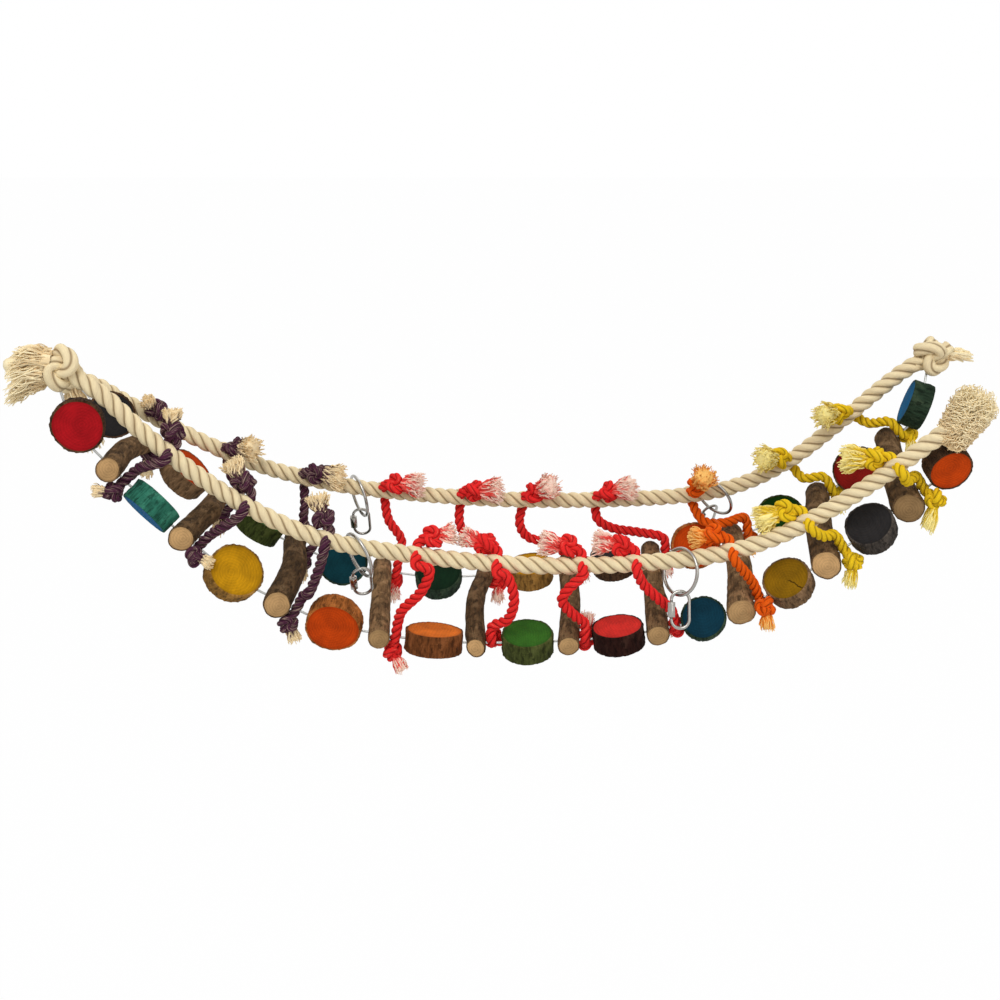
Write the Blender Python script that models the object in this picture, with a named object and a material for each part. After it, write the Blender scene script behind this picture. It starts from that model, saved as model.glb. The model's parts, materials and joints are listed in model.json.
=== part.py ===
"""Bird rope ladder: ten bark-covered rungs and twenty-two dyed wood slices threaded on two steel wires.

Two thick cotton ropes carry the wires. Each wire is gripped in the end knots of its rope, and ten knotted
cords hang it from the rope, one beside each rung. A ring and a quick link hang at each quarter of the ladder.

Metres, +X along the ladder, the front towards -Y, +Z up. The origin is in the middle, at the height where
the four rings hang on the ropes.
"""

import math
from dataclasses import dataclass

import bmesh
import bpy
from mathutils import Matrix, Vector

# Driving dimensions
LADDER_WIDTH = 0.170
ROPE_DIAMETER = 0.017
CORD_DIAMETER = 0.010
WIRE_DIAMETER = 0.0025
SLICE_THICKNESS = 0.022
RING_DIAMETER = 0.050
RING_WIRE = 0.0035
LINK_LENGTH = 0.040
LINK_WIDTH = 0.021
LINK_WIRE = 0.0032
NUT_LENGTH = 0.015
NUT_ACROSS_FLATS = 0.0074

# Knots, tassels and swellings
TOP_KNOT_DIAMETER = 0.020
WIRE_KNOT_DIAMETER = 0.017
WIRE_KNOT_DROP = 0.019
WIRE_KNOT_SHIFT = 0.0015
END_KNOT_DIAMETER = 0.032
PIERCE_SWELL = 0.001
TASSEL_LENGTH = 0.012
TAIL_LENGTH = 0.010

# Shares of a knot's radius: how far out its cheeks, shoulder, stem and neck lie, and how thick they are
CHEEK_REACH, CHEEK_WIDTH = 0.4, 0.92
SHOULDER_RISE, SHOULDER_SHIFT, SHOULDER_WIDTH = 0.9, 0.6, 0.75
STEM_SHIFT = 0.15
NECK_REACH = 0.95
KNOT_SHIFT = 0.4

# How many of its own radii a cord runs on past the wire before it swells into its knot
COLLAR_REACH = 1.5

# Shares of a tassel's size
TIP_WIDTH, NECK_WIDTH = 0.8, 0.62
BRUSH_REACH, BRUSH_WIDTH = 0.62, 0.46

# Clearances
SEAT_GAP = 0.0003
RING_GAP = 0.0007
BEAD_GAP = 0.001
BORE_CLEARANCE = 0.0008
LINK_GAP = 0.0005

# Fineness of the round pieces
ROPE_STEP = 0.045
CORD_STEP = 0.023
ROUTE_SAMPLES = 24

FRONT, BACK = -1, 1
UP = Vector((0.0, 0.0, 1.0))


@dataclass(frozen=True)
class Finish:
    """A plain surface: linear base colour, roughness and how metallic it is."""

    colour: tuple
    roughness: float = 0.8
    metallic: float = 0.0


@dataclass(frozen=True)
class Rung:
    """A branch: its diameter and overhang at each wire, and how far its middle bows in X and Z."""

    front_diameter: float
    back_diameter: float
    front_overhang: float = 0.012
    back_overhang: float = 0.018
    bow: tuple = (0.0, 0.0)


@dataclass(frozen=True)
class Slice:
    """A dyed disc sawn across a branch: its diameter, dye, and turn on the wire in degrees."""

    diameter: float
    dye: str
    turn: float


@dataclass(frozen=True)
class Cord:
    """A hanger cord: where it pierces its rope, how its ends lie, and the points of its free stretch.

    The tassel lies along the rope, to the left or right, and rises from it. The knot on the wire hangs below
    it at 0 degrees, lies outwards at 90 and inwards at -90. Points are X, the distance outwards from the
    rope's plane, and Z.
    """

    pierce_x: float
    dye: str
    tassel_side: int
    tassel_rise: float
    knot_turn: float
    points: tuple


@dataclass(frozen=True)
class RopeEnd:
    """The end of a rope: the middle of its knot, the tip of its tassel, and the tassel's diameter."""

    knot: tuple
    tip: tuple
    tassel_diameter: float


@dataclass(frozen=True)
class Side:
    """One side of the ladder. Points are X, the distance outwards from the side's plane, and Z.

    Slack is bare wire: before the first rung, then in each bay between two rungs, then after the last cord.
    Lean is how far the cords go outwards through the rope for each metre that they go down.
    """

    name: str
    sign: int
    lean: float
    rope_points: tuple
    left_end: RopeEnd
    right_end: RopeEnd
    wire_points: tuple
    middle_rung_x: float
    slices: tuple
    slack: tuple
    cords: tuple


@dataclass(frozen=True)
class Hanger:
    """A ring on a rope with its quick link: place, turn about the vertical, swing, and the link's turn."""

    name: str
    side: Side
    x: float
    turn: float
    swing: float
    link_turn: float


FINISHES = {
    "rope": Finish((0.62, 0.53, 0.39), 0.9),
    "steel": Finish((0.62, 0.62, 0.60), 0.3, 1.0),
    "bark": Finish((0.16, 0.095, 0.05), 0.85),
    "red": Finish((0.45, 0.012, 0.018)),
    "blue": Finish((0.02, 0.09, 0.30)),
    "teal": Finish((0.01, 0.16, 0.20)),
    "yellow": Finish((0.66, 0.48, 0.03)),
    "olive": Finish((0.36, 0.30, 0.03)),
    "orange": Finish((0.72, 0.17, 0.015)),
    "green": Finish((0.03, 0.17, 0.05)),
    "black": Finish((0.012, 0.012, 0.014)),
    "purple": Finish((0.14, 0.03, 0.24)),
}

RUNGS = (
    Rung(0.024, 0.022, back_overhang=0.012, bow=(-0.004, 0.004)),
    Rung(0.025, 0.022, bow=(0.006, 0.004)),
    Rung(0.028, 0.025, back_overhang=0.040, bow=(0.007, 0.002)),
    Rung(0.022, 0.021),
    Rung(0.020, 0.019, back_overhang=0.036, bow=(-0.006, 0.005)),
    Rung(0.022, 0.020, bow=(0.003, -0.002)),
    Rung(0.023, 0.021, back_overhang=0.014),
    Rung(0.029, 0.025, back_overhang=0.009, bow=(0.004, 0.0)),
    Rung(0.030, 0.026, bow=(-0.003, 0.002)),
    Rung(0.030, 0.025, bow=(-0.005, 0.003)),
)
MIDDLE_RUNG = 4

FRONT_SIDE = Side(
    name="front",
    sign=FRONT,
    lean=0.5,
    rope_points=(
        (-0.381, 0, 0.162), (-0.347, 0, 0.126), (-0.311, 0, 0.093), (-0.274, 0, 0.064),
        (-0.236, 0, 0.040), (-0.198, 0, 0.021), (-0.159, 0, 0.008), (-0.100, 0, -0.002),
        (-0.040, 0, -0.010), (0.020, 0, -0.015), (0.080, 0, -0.016), (0.140, 0, -0.013),
        (0.199, 0, -0.007), (0.239, 0, 0.002), (0.278, 0, 0.017), (0.315, 0, 0.038),
        (0.352, 0, 0.063), (0.389, 0, 0.091), (0.418, 0, 0.115),
    ),
    left_end=RopeEnd((-0.416, 0, 0.187), (-0.466, 0.004, 0.178), 0.042),
    right_end=RopeEnd((0.446, 0, 0.136), (0.465, 0.002, 0.178), 0.048),
    wire_points=(
        (-0.420, 0.002, 0.176), (-0.407, 0.006, 0.130), (-0.372, 0.004, 0.084), (-0.315, 0, 0.018),
        (-0.245, 0, -0.042), (-0.168, 0, -0.080), (-0.080, 0, -0.098), (0.010, 0, -0.101),
        (0.100, 0, -0.096), (0.185, 0, -0.081), (0.265, 0, -0.051), (0.340, -0.004, -0.001),
        (0.398, -0.012, 0.042), (0.436, -0.017, 0.074), (0.455, -0.004, 0.123),
    ),
    middle_rung_x=-0.024,
    slices=(
        Slice(0.053, "red", -20), Slice(0.055, "blue", 62), Slice(0.058, "yellow", -48),
        Slice(0.058, "orange", 8), Slice(0.060, "orange", -99), Slice(0.054, "green", -80),
        Slice(0.054, "red", -87), Slice(0.047, "blue", -32), Slice(0.050, "olive", -57),
        Slice(0.050, "black", -60), Slice(0.046, "orange", 30),
    ),
    slack=(0.012, 0.004, 0.017, 0.012, 0.006, 0.006, 0.002, 0.001, 0.004, 0.005, 0.010),
    cords=(
        Cord(-0.321, "purple", -1, 50, 40, ((-0.343, 0.010, 0.092),)),
        Cord(-0.250, "purple", -1, 30, 80, ((-0.266, 0.010, 0.033),)),
        Cord(-0.172, "purple", -1, 60, 15, ((-0.179, 0.012, -0.013), (-0.191, 0.008, -0.042))),
        Cord(
            -0.083, "red", 1, 20, 0,
            ((-0.070, 0.012, -0.016), (-0.079, 0.010, -0.040), (-0.098, 0.004, -0.062)),
        ),
        Cord(
            -0.003, "red", -1, 15, -80,
            ((0.007, 0.012, -0.022), (0.014, 0.012, -0.047), (0.008, 0.008, -0.071)),
        ),
        Cord(
            0.082, "red", -1, 10, -60,
            ((0.069, 0.014, -0.034), (0.062, 0.012, -0.049), (0.074, 0.006, -0.067)),
        ),
        Cord(0.136, "red", -1, 10, -60, ((0.143, 0.010, -0.032), (0.157, 0.008, -0.047))),
        Cord(0.231, "orange", -1, 10, 80, ((0.243, 0.008, -0.019),)),
        Cord(0.304, "yellow", -1, 10, 40, ((0.320, 0.006, 0.018),)),
        Cord(0.386, "yellow", -1, 35, 60, ((0.397, 0.002, 0.074),)),
    ),
)

BACK_SIDE = Side(
    name="back",
    sign=BACK,
    lean=1.0,
    rope_points=(
        (-0.434, 0, 0.123), (-0.414, 0, 0.110), (-0.372, 0, 0.085), (-0.330, 0, 0.062),
        (-0.288, 0, 0.042), (-0.244, 0, 0.026), (-0.178, 0, 0.010), (-0.089, 0, -0.001),
        (0.000, 0, -0.007), (0.090, 0, -0.008), (0.157, 0, -0.006), (0.201, 0, -0.003),
        (0.246, 0, 0.004), (0.289, 0, 0.020), (0.331, 0, 0.047), (0.372, 0, 0.083),
        (0.412, 0, 0.120), (0.437, 0, 0.141),
    ),
    left_end=RopeEnd((-0.470, 0, 0.139), (-0.481, 0.014, 0.068), 0.034),
    right_end=RopeEnd((0.463, 0, 0.158), (0.505, 0.004, 0.160), 0.026),
    wire_points=(
        (-0.466, -0.004, 0.136), (-0.446, -0.036, 0.128), (-0.418, -0.043, 0.112),
        (-0.388, -0.037, 0.078), (-0.349, -0.023, 0.034), (-0.300, -0.007, -0.013),
        (-0.240, 0, -0.058), (-0.175, 0, -0.085), (-0.100, 0, -0.099), (-0.016, 0, -0.100),
        (0.070, 0, -0.091), (0.160, 0, -0.076), (0.250, 0, -0.056), (0.310, 0, -0.034),
        (0.356, -0.004, -0.005), (0.395, -0.010, 0.032), (0.426, -0.020, 0.067),
        (0.449, -0.023, 0.102), (0.460, -0.004, 0.146),
    ),
    middle_rung_x=-0.018,
    slices=(
        Slice(0.052, "black", -20), Slice(0.056, "orange", -68), Slice(0.056, "green", -90),
        Slice(0.056, "teal", -20), Slice(0.054, "green", -50), Slice(0.051, "yellow", -80),
        Slice(0.052, "black", -75), Slice(0.056, "orange", -20), Slice(0.056, "green", -25),
        Slice(0.053, "red", -20), Slice(0.051, "teal", -133),
    ),
    slack=(0.009, 0.010, 0.009, 0.012, 0.030, 0.012, 0.010, 0.002, 0.010, 0.006, 0.007),
    cords=(
        Cord(-0.368, "purple", -1, 40, 45, ((-0.358, 0.0, 0.061),)),
        Cord(-0.304, "purple", 1, 50, 15, ((-0.300, 0.004, 0.020),)),
        Cord(-0.219, "purple", 1, 10, 0, ((-0.219, 0.002, -0.012), (-0.221, 0.002, -0.036))),
        Cord(-0.130, "red", 1, 15, 30, ((-0.126, 0.002, -0.031), (-0.112, 0.002, -0.056))),
        Cord(
            -0.043, "red", 1, 15, 30,
            ((-0.046, 0.004, -0.033), (-0.038, 0.004, -0.056), (-0.016, 0.002, -0.066)),
        ),
        Cord(
            0.028, "red", 1, 50, 80,
            ((0.022, 0.004, -0.036), (0.032, 0.006, -0.055), (0.060, 0.004, -0.061)),
        ),
        Cord(
            0.108, "red", 1, 30, 45,
            ((0.110, 0.004, -0.032), (0.128, 0.006, -0.044), (0.156, 0.004, -0.048)),
        ),
        Cord(0.213, "orange", 1, 75, 45, ((0.226, -0.010, -0.028), (0.250, -0.016, -0.029))),
        Cord(0.320, "yellow", -1, 60, 45, ((0.337, 0.002, 0.018),)),
        Cord(0.383, "yellow", -1, 60, 45, ((0.404, 0.0, 0.082),)),
    ),
)

HANGERS = (
    Hanger("front_left", FRONT_SIDE, -0.141, 40, 23, -25),
    Hanger("front_right", FRONT_SIDE, 0.180, 40, -24, -40),
    Hanger("back_left", BACK_SIDE, -0.158, 30, 20, -25),
    Hanger("back_right", BACK_SIDE, 0.241, 40, 37, -25),
)


class Route:
    """A smooth line through chosen points, with places on it given by their distance along it."""

    def __init__(self, points):
        """Sample a Catmull-Rom curve through the points."""
        ends = [2 * points[0] - points[1], *points, 2 * points[-1] - points[-2]]
        self.samples = [points[0]]
        for a, b, c, d in zip(ends, ends[1:], ends[2:], ends[3:]):
            for step in range(1, ROUTE_SAMPLES + 1):
                t = step / ROUTE_SAMPLES
                bend = (2 * a - 5 * b + 4 * c - d) * t**2
                twist = (3 * b - a - 3 * c + d) * t**3
                self.samples.append(0.5 * (2 * b + (c - a) * t + bend + twist))
        self.stations = [0.0]
        for a, b in zip(self.samples, self.samples[1:]):
            self.stations.append(self.stations[-1] + (b - a).length)
        self.length = self.stations[-1]

    def at(self, station):
        """Return the point at a distance along the line, carried straight on past its ends."""
        index = sum(1 for s in self.stations[1:-1] if s <= station)
        start, end = self.stations[index], self.stations[index + 1]
        return self.samples[index].lerp(self.samples[index + 1], (station - start) / (end - start))

    def tangent(self, station):
        """Return the unit direction of the line at a distance along it."""
        reach = self.length / len(self.samples)
        return (self.at(station + reach) - self.at(station - reach)).normalized()

    def station_at_x(self, x):
        """Return the distance along the line where it first passes an X value."""
        for a, b, s, t in zip(self.samples, self.samples[1:], self.stations, self.stations[1:]):
            if a.x <= x <= b.x:
                return s + (t - s) * (x - a.x) / (b.x - a.x)
        raise ValueError(f"the line never passes x = {x}")

    def spaced(self, step):
        """Return points along the whole line, evenly spaced and about one step apart."""
        count = max(1, round(self.length / step))
        return [self.at(self.length * i / count) for i in range(count + 1)]


def place(side, point):
    """Turn X, the distance outwards and Z of a side into a point of the ladder."""
    x, outwards, z = point
    return Vector((x, side.sign * (LADDER_WIDTH / 2 + outwards), z))


def upright(direction):
    """Return the unit vector square to a direction that points most nearly up."""
    return (UP - UP.dot(direction) * direction).normalized()


def frame(x_axis, z_axis, origin):
    """Return the matrix of a frame with the given X and Z axes."""
    y_axis = z_axis.cross(x_axis)
    return Matrix.Translation(origin) @ Matrix((x_axis, y_axis, z_axis)).transposed().to_4x4()


def material(name):
    """Return the material of a finish, made on first use."""
    found = bpy.data.materials.get(name)
    if found:
        return found
    finish = FINISHES[name]
    made = bpy.data.materials.new(name)
    made.use_nodes = True
    shader = made.node_tree.nodes["Principled BSDF"]
    shader.inputs["Base Color"].default_value = (*finish.colour, 1.0)
    shader.inputs["Roughness"].default_value = finish.roughness
    shader.inputs["Metallic"].default_value = finish.metallic
    return made


def add_object(name, mesh, finish, matrix=None):
    """Link a mesh to the scene as a named piece, smooth where it is round."""
    mesh.name = name
    mesh.materials.clear()
    mesh.materials.append(material(finish))
    mesh.shade_smooth()
    mesh.set_sharp_from_angle(angle=math.radians(50))
    piece = bpy.data.objects.new(name, mesh)
    piece.matrix_world = matrix or Matrix()
    bpy.context.collection.objects.link(piece)
    return piece


def tube_mesh(sections, resolution):
    """Sweep a round section along points, each with its own radius, and close both ends."""
    curve = bpy.data.curves.new("tube", "CURVE")
    curve.dimensions = "3D"
    curve.bevel_depth = 1.0
    curve.bevel_resolution = resolution
    curve.use_fill_caps = True
    spline = curve.splines.new("POLY")
    spline.points.add(len(sections) - 1)
    for target, (point, radius) in zip(spline.points, sections):
        target.co = (*point, 1.0)
        target.radius = radius
    guide = bpy.data.objects.new("tube", curve)
    mesh = bpy.data.meshes.new_from_object(guide)
    bpy.data.objects.remove(guide)
    bpy.data.curves.remove(curve)
    shape = bmesh.new()
    shape.from_mesh(mesh)
    bmesh.ops.remove_doubles(shape, verts=shape.verts, dist=1e-6)
    bmesh.ops.recalc_face_normals(shape, faces=shape.faces)
    shape.to_mesh(mesh)
    shape.free()
    return mesh


def hidden_operand(name, mesh, matrix=None):
    """Add a mesh that only takes part in a Boolean."""
    operand = bpy.data.objects.new(name, mesh)
    operand.matrix_world = matrix or Matrix()
    operand.hide_render = True
    operand.display_type = "WIRE"
    bpy.context.collection.objects.link(operand)
    return operand


def boolean(piece, operation, operand):
    """Put an exact Boolean on a piece."""
    modifier = piece.modifiers.new(operation.title(), "BOOLEAN")
    modifier.operation = operation
    modifier.solver = "EXACT"
    modifier.object = operand


def drill(piece, bores):
    """Drill round holes through a piece: each has a middle, a direction, a length and a radius."""
    sides = 8
    shape = bmesh.new()
    for middle, direction, length, radius in bores:
        bmesh.ops.create_cone(
            shape,
            cap_ends=True,
            segments=sides,
            radius1=radius / math.cos(math.pi / sides),
            radius2=radius / math.cos(math.pi / sides),
            depth=length,
            matrix=Matrix.Translation(middle) @ UP.rotation_difference(direction).to_matrix().to_4x4(),
        )
    mesh = bpy.data.meshes.new(f"{piece.name} bores")
    shape.to_mesh(mesh)
    shape.free()
    boolean(piece, "DIFFERENCE", hidden_operand(f"{piece.name} bores", mesh))


def threading(side):
    """Space the rungs, cords and slices of a side along its wire, outwards from the middle rung.

    Returns the wire's corner points, and the middle and direction of each rung's, cord's and slice's hole.
    """
    route = Route([place(side, p) for p in side.wire_points])
    rung_radii = [(r.front_diameter if side.sign == FRONT else r.back_diameter) / 2 for r in RUNGS]
    slice_radii = [s.diameter / 2 for s in side.slices]
    bays = []
    for i in range(len(RUNGS) - 1):
        beads = rung_radii[i] + rung_radii[i + 1] + CORD_DIAMETER + 2 * slice_radii[i + 1]
        bays.append(beads + 3 * BEAD_GAP + side.slack[i + 1])
    rungs = [route.station_at_x(side.middle_rung_x)] * len(RUNGS)
    for i in range(MIDDLE_RUNG, len(RUNGS) - 1):
        rungs[i + 1] = rungs[i] + bays[i]
    for i in range(MIDDLE_RUNG, 0, -1):
        rungs[i - 1] = rungs[i] - bays[i - 1]
    cords = [s + r + BEAD_GAP + CORD_DIAMETER / 2 for s, r in zip(rungs, rung_radii)]
    slices = [rungs[0] - rung_radii[0] - BEAD_GAP - slice_radii[0] - side.slack[0]]
    for cord, radius, slack in zip(cords, slice_radii[1:], side.slack[1:]):
        slices.append(cord + CORD_DIAMETER / 2 + BEAD_GAP + radius + slack / 2)

    corners = [0.0]
    for station, radius in zip(slices, slice_radii):
        corners += [station - radius - BEAD_GAP / 2, station + radius + BEAD_GAP / 2]
    corners.append(route.length)
    points = [route.at(s) for s in corners]

    def on_wire(station):
        index = max(i for i, s in enumerate(corners[:-1]) if s <= station)
        start, end = points[index], points[index + 1]
        share = (station - corners[index]) / (corners[index + 1] - corners[index])
        return start.lerp(end, share), (end - start).normalized()

    return points, [on_wire(s) for s in rungs], [on_wire(s) for s in cords], [on_wire(s) for s in slices]


def wire_bore(middle, direction, length):
    """Return a hole along the wire, wider than it by the clearance."""
    return middle, direction, length, WIRE_DIAMETER / 2 + BORE_CLEARANCE


def make_wire(side, points):
    """Make the steel wire of a side, straight through each bead."""
    sections = [(p, WIRE_DIAMETER / 2) for p in points]
    return add_object(f"wire_{side.name}", tube_mesh(sections, resolution=2), "steel")


def make_rung(number, rung, front, back):
    """Make a rung as a bowed, tapering branch, drilled where each wire passes through it."""
    (front_point, front_wire), (back_point, back_wire) = front, back
    along = (back_point - front_point).normalized()
    bow = Vector((rung.bow[0], 0.0, rung.bow[1]))
    middle = front_point.lerp(back_point, 0.5) + bow
    ends = (front_point - along * rung.front_overhang, back_point + along * rung.back_overhang)
    route = Route([ends[0], front_point, middle, back_point, ends[1]])
    points = route.spaced(route.length / 6)
    sections = []
    for i, point in enumerate(points):
        share = i / (len(points) - 1)
        diameter = rung.front_diameter + (rung.back_diameter - rung.front_diameter) * share
        sections.append((point, diameter / 2))
    piece = add_object(f"rung_{number:02d}", tube_mesh(sections, resolution=3), "bark")
    reach = 2 * rung.front_diameter
    drill(piece, [wire_bore(front_point, front_wire, reach), wire_bore(back_point, back_wire, reach)])
    return piece


def make_slice(name, spec, middle, direction):
    """Make a wood slice of slightly uneven outline, turned on the wire that bores through it edge to edge."""
    sides = 16
    oval, lobed = 0.02, 0.01
    shape = bmesh.new()
    outline = []
    for i in range(sides):
        angle = 2 * math.pi * i / sides
        inset = oval * (1 - math.cos(2 * angle)) + lobed * (1 - math.cos(3 * angle))
        radius = spec.diameter / 2 * (1 - inset)
        corner = (radius * math.cos(angle), radius * math.sin(angle), -SLICE_THICKNESS / 2)
        outline.append(shape.verts.new(corner))
    face = shape.faces.new(outline)
    raised = bmesh.ops.extrude_face_region(shape, geom=[face])
    verts = [v for v in raised["geom"] if isinstance(v, bmesh.types.BMVert)]
    bmesh.ops.translate(shape, verts=verts, vec=(0.0, 0.0, SLICE_THICKNESS))
    bmesh.ops.recalc_face_normals(shape, faces=shape.faces)
    mesh = bpy.data.meshes.new(name)
    shape.to_mesh(mesh)
    shape.free()
    turn = Matrix.Rotation(math.radians(spec.turn), 3, direction)
    normal = turn @ direction.cross(upright(direction))
    piece = add_object(name, mesh, spec.dye, frame(direction, normal, middle))
    drill(piece, [wire_bore(middle, direction, 2 * spec.diameter)])
    return piece


def rope_frame(rope, x, side):
    """Return the rope's middle, tangent and piercing direction, which leans outwards as it goes down."""
    station = rope.station_at_x(x)
    tangent = rope.tangent(station)
    outwards = Vector((0.0, side.sign, 0.0))
    down = (outwards * side.lean - upright(tangent)).normalized()
    return rope.at(station), tangent, down


def cord_sections(side, rope, cord, wire_point, wire_direction):
    """Return the points and radii of a hanger cord, from its tassel to its tail beyond the wire."""
    centre, tangent, down = rope_frame(rope, cord.pierce_x, side)
    radius = CORD_DIAMETER / 2
    rope_radius = ROPE_DIAMETER / 2 + PIERCE_SWELL
    knot = TOP_KNOT_DIAMETER / 2
    rise = math.radians(cord.tassel_rise)
    along = cord.tassel_side * tangent
    tassel = along * math.cos(rise) - down * math.sin(rise)
    seat = centre - down * rope_radius
    knot_middle = seat - down * (SEAT_GAP + knot) + along * knot * (KNOT_SHIFT + math.cos(rise))
    sections = [
        (knot_middle + tassel * (knot + TASSEL_LENGTH), TIP_WIDTH * knot),
        (knot_middle + tassel * knot, NECK_WIDTH * knot),
        (knot_middle, knot),
        (seat - down * SHOULDER_RISE * knot + along * SHOULDER_SHIFT * knot, SHOULDER_WIDTH * knot),
        (seat - down * radius + along * STEM_SHIFT * knot, radius),
        (seat, radius),
    ]
    leave = centre + down * (rope_radius + radius)
    above = upright(wire_direction)
    arrive = wire_point + above * WIRE_KNOT_DROP
    free = Route([leave, *(place(side, p) for p in cord.points), arrive])
    sections += [(p, radius) for p in free.spaced(CORD_STEP)]
    turn = math.radians(cord.knot_turn)
    hang = Matrix.Rotation(side.sign * turn, 3, wire_direction) @ -above
    wire_knot = WIRE_KNOT_DIAMETER / 2
    beside_rung = wire_knot + SEAT_GAP - radius - BEAD_GAP
    shift = beside_rung * math.sin(turn) ** 2 - WIRE_KNOT_SHIFT * math.cos(turn)
    wire_knot_middle = wire_point + hang * WIRE_KNOT_DROP + wire_direction * shift
    sections += [
        (wire_point, radius),
        (wire_point + hang * COLLAR_REACH * radius, radius),
        (wire_knot_middle - hang * CHEEK_REACH * wire_knot, CHEEK_WIDTH * wire_knot),
        (wire_knot_middle + hang * CHEEK_REACH * wire_knot, CHEEK_WIDTH * wire_knot),
        (wire_knot_middle + hang * wire_knot, radius),
        (wire_knot_middle + hang * (wire_knot + TAIL_LENGTH), radius),
    ]
    return sections


def make_cord_mesh(side, rope, cord, crossing):
    """Return the mesh of a hanger cord, before the wire is drilled through it."""
    return tube_mesh(cord_sections(side, rope, cord, *crossing), resolution=2)


def end_sections(side, end, inner):
    """Return the points and radii of a rope end from its tassel tip to the rope's side of its knot."""
    knot, tip = place(side, end.knot), place(side, end.tip)
    outwards, inwards = (tip - knot).normalized(), (inner - knot).normalized()
    radius, knot_radius = ROPE_DIAMETER / 2, END_KNOT_DIAMETER / 2
    return [
        (tip, end.tassel_diameter / 2),
        (knot.lerp(tip, BRUSH_REACH), BRUSH_WIDTH * end.tassel_diameter),
        (knot + outwards * NECK_REACH * knot_radius, CHEEK_WIDTH * radius),
        (knot + outwards * CHEEK_REACH * knot_radius, CHEEK_WIDTH * knot_radius),
        (knot + inwards * CHEEK_REACH * knot_radius, CHEEK_WIDTH * knot_radius),
        (knot + inwards * knot_radius, radius),
    ]


def rope_route(side):
    """Return the smooth line of a rope between its end knots."""
    points = [side.left_end.knot, *side.rope_points, side.right_end.knot]
    return Route([place(side, p) for p in points])


def make_rope(side, rope, crossings, wire_points):
    """Make a rope with its knotted ends, pierced by its cords, with its outermost cords fused to it."""
    left = end_sections(side, side.left_end, rope.at(END_KNOT_DIAMETER / 2))
    right = end_sections(side, side.right_end, rope.at(rope.length - END_KNOT_DIAMETER / 2))
    start, end = END_KNOT_DIAMETER / 2, rope.length - END_KNOT_DIAMETER / 2
    count = round((end - start) / ROPE_STEP)
    stations = [start + (end - start) * i / count for i in range(1, count)]
    pierced = [rope.station_at_x(c.pierce_x) for c in side.cords]
    hung = [rope.station_at_x(h.x) for h in HANGERS if h.side is side]
    stations = [s for s in stations if min(abs(s - p) for p in pierced + hung) > ROPE_DIAMETER]
    stations += [s + reach for s in hung for reach in (-RING_DIAMETER / 4, 0.0, RING_DIAMETER / 4)]
    body = [(s, ROPE_DIAMETER / 2) for s in stations]
    for p in pierced:
        body += [(p - ROPE_DIAMETER, ROPE_DIAMETER / 2), (p, ROPE_DIAMETER / 2 + PIERCE_SWELL)]
        body += [(p + ROPE_DIAMETER, ROPE_DIAMETER / 2)]
    sections = left + [(rope.at(s), r) for s, r in sorted(body)] + right[::-1]
    piece = add_object(f"rope_{side.name}", tube_mesh(sections, resolution=3), "rope")

    inner_cords = side.cords[1:-1]
    holes = []
    for cord in inner_cords:
        centre, _, down = rope_frame(rope, cord.pierce_x, side)
        holes.append((centre, down, 2 * TOP_KNOT_DIAMETER, CORD_DIAMETER / 2 + SEAT_GAP))
    drill(piece, holes)
    for label, index in (("first", 0), ("last", -1)):
        mesh = make_cord_mesh(side, rope, side.cords[index], crossings[index])
        boolean(piece, "UNION", hidden_operand(f"{side.name} {label} cord", mesh))
    bores = [wire_bore(*crossing, 2 * CORD_DIAMETER) for crossing in (crossings[0], crossings[-1])]
    for outer, inner in ((wire_points[0], wire_points[1]), (wire_points[-1], wire_points[-2])):
        inwards = (inner - outer).normalized()
        middle = outer + inwards * (END_KNOT_DIAMETER / 2 - SEAT_GAP)
        bores.append(wire_bore(middle, inwards, END_KNOT_DIAMETER))
    drill(piece, bores)
    return piece


def make_cords(side, rope, crossings):
    """Make the separate hanger cords of a side, from the second to the last but one."""
    for i in range(1, len(side.cords) - 1):
        cord = side.cords[i]
        mesh = make_cord_mesh(side, rope, cord, crossings[i])
        piece = add_object(f"cord_{side.name}_{i + 1:02d}", mesh, cord.dye)
        drill(piece, [wire_bore(*crossings[i], 2 * CORD_DIAMETER)])


def loop_mesh(path, wire_diameter, sides):
    """Sweep a round section along a closed path in the XZ plane, with a flat towards the path's inside."""
    shape = bmesh.new()
    rings = []
    count = len(path)
    circumradius = wire_diameter / 2
    for i, point in enumerate(path):
        tangent = (path[(i + 1) % count] - path[i - 1]).normalized()
        inside = tangent.cross(Vector((0.0, 1.0, 0.0)))
        ring = []
        for k in range(sides):
            angle = 2 * math.pi * (k + 0.5) / sides
            offset = inside * math.cos(angle) + Vector((0.0, 1.0, 0.0)) * math.sin(angle)
            ring.append(shape.verts.new(point + offset * circumradius))
        rings.append(ring)
    for ring, after in zip(rings, rings[1:] + rings[:1]):
        for k in range(sides):
            shape.faces.new((ring[k], ring[(k + 1) % sides], after[(k + 1) % sides], after[k]))
    bmesh.ops.recalc_face_normals(shape, faces=shape.faces)
    mesh = bpy.data.meshes.new("loop")
    shape.to_mesh(mesh)
    shape.free()
    return mesh


def arc_points(centre, radius, first, last, count):
    """Return points along an arc in the XZ plane, both ends included."""
    angles = [math.radians(first + (last - first) * i / (count - 1)) for i in range(count)]
    return [centre + radius * Vector((math.cos(a), 0.0, math.sin(a))) for a in angles]


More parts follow.
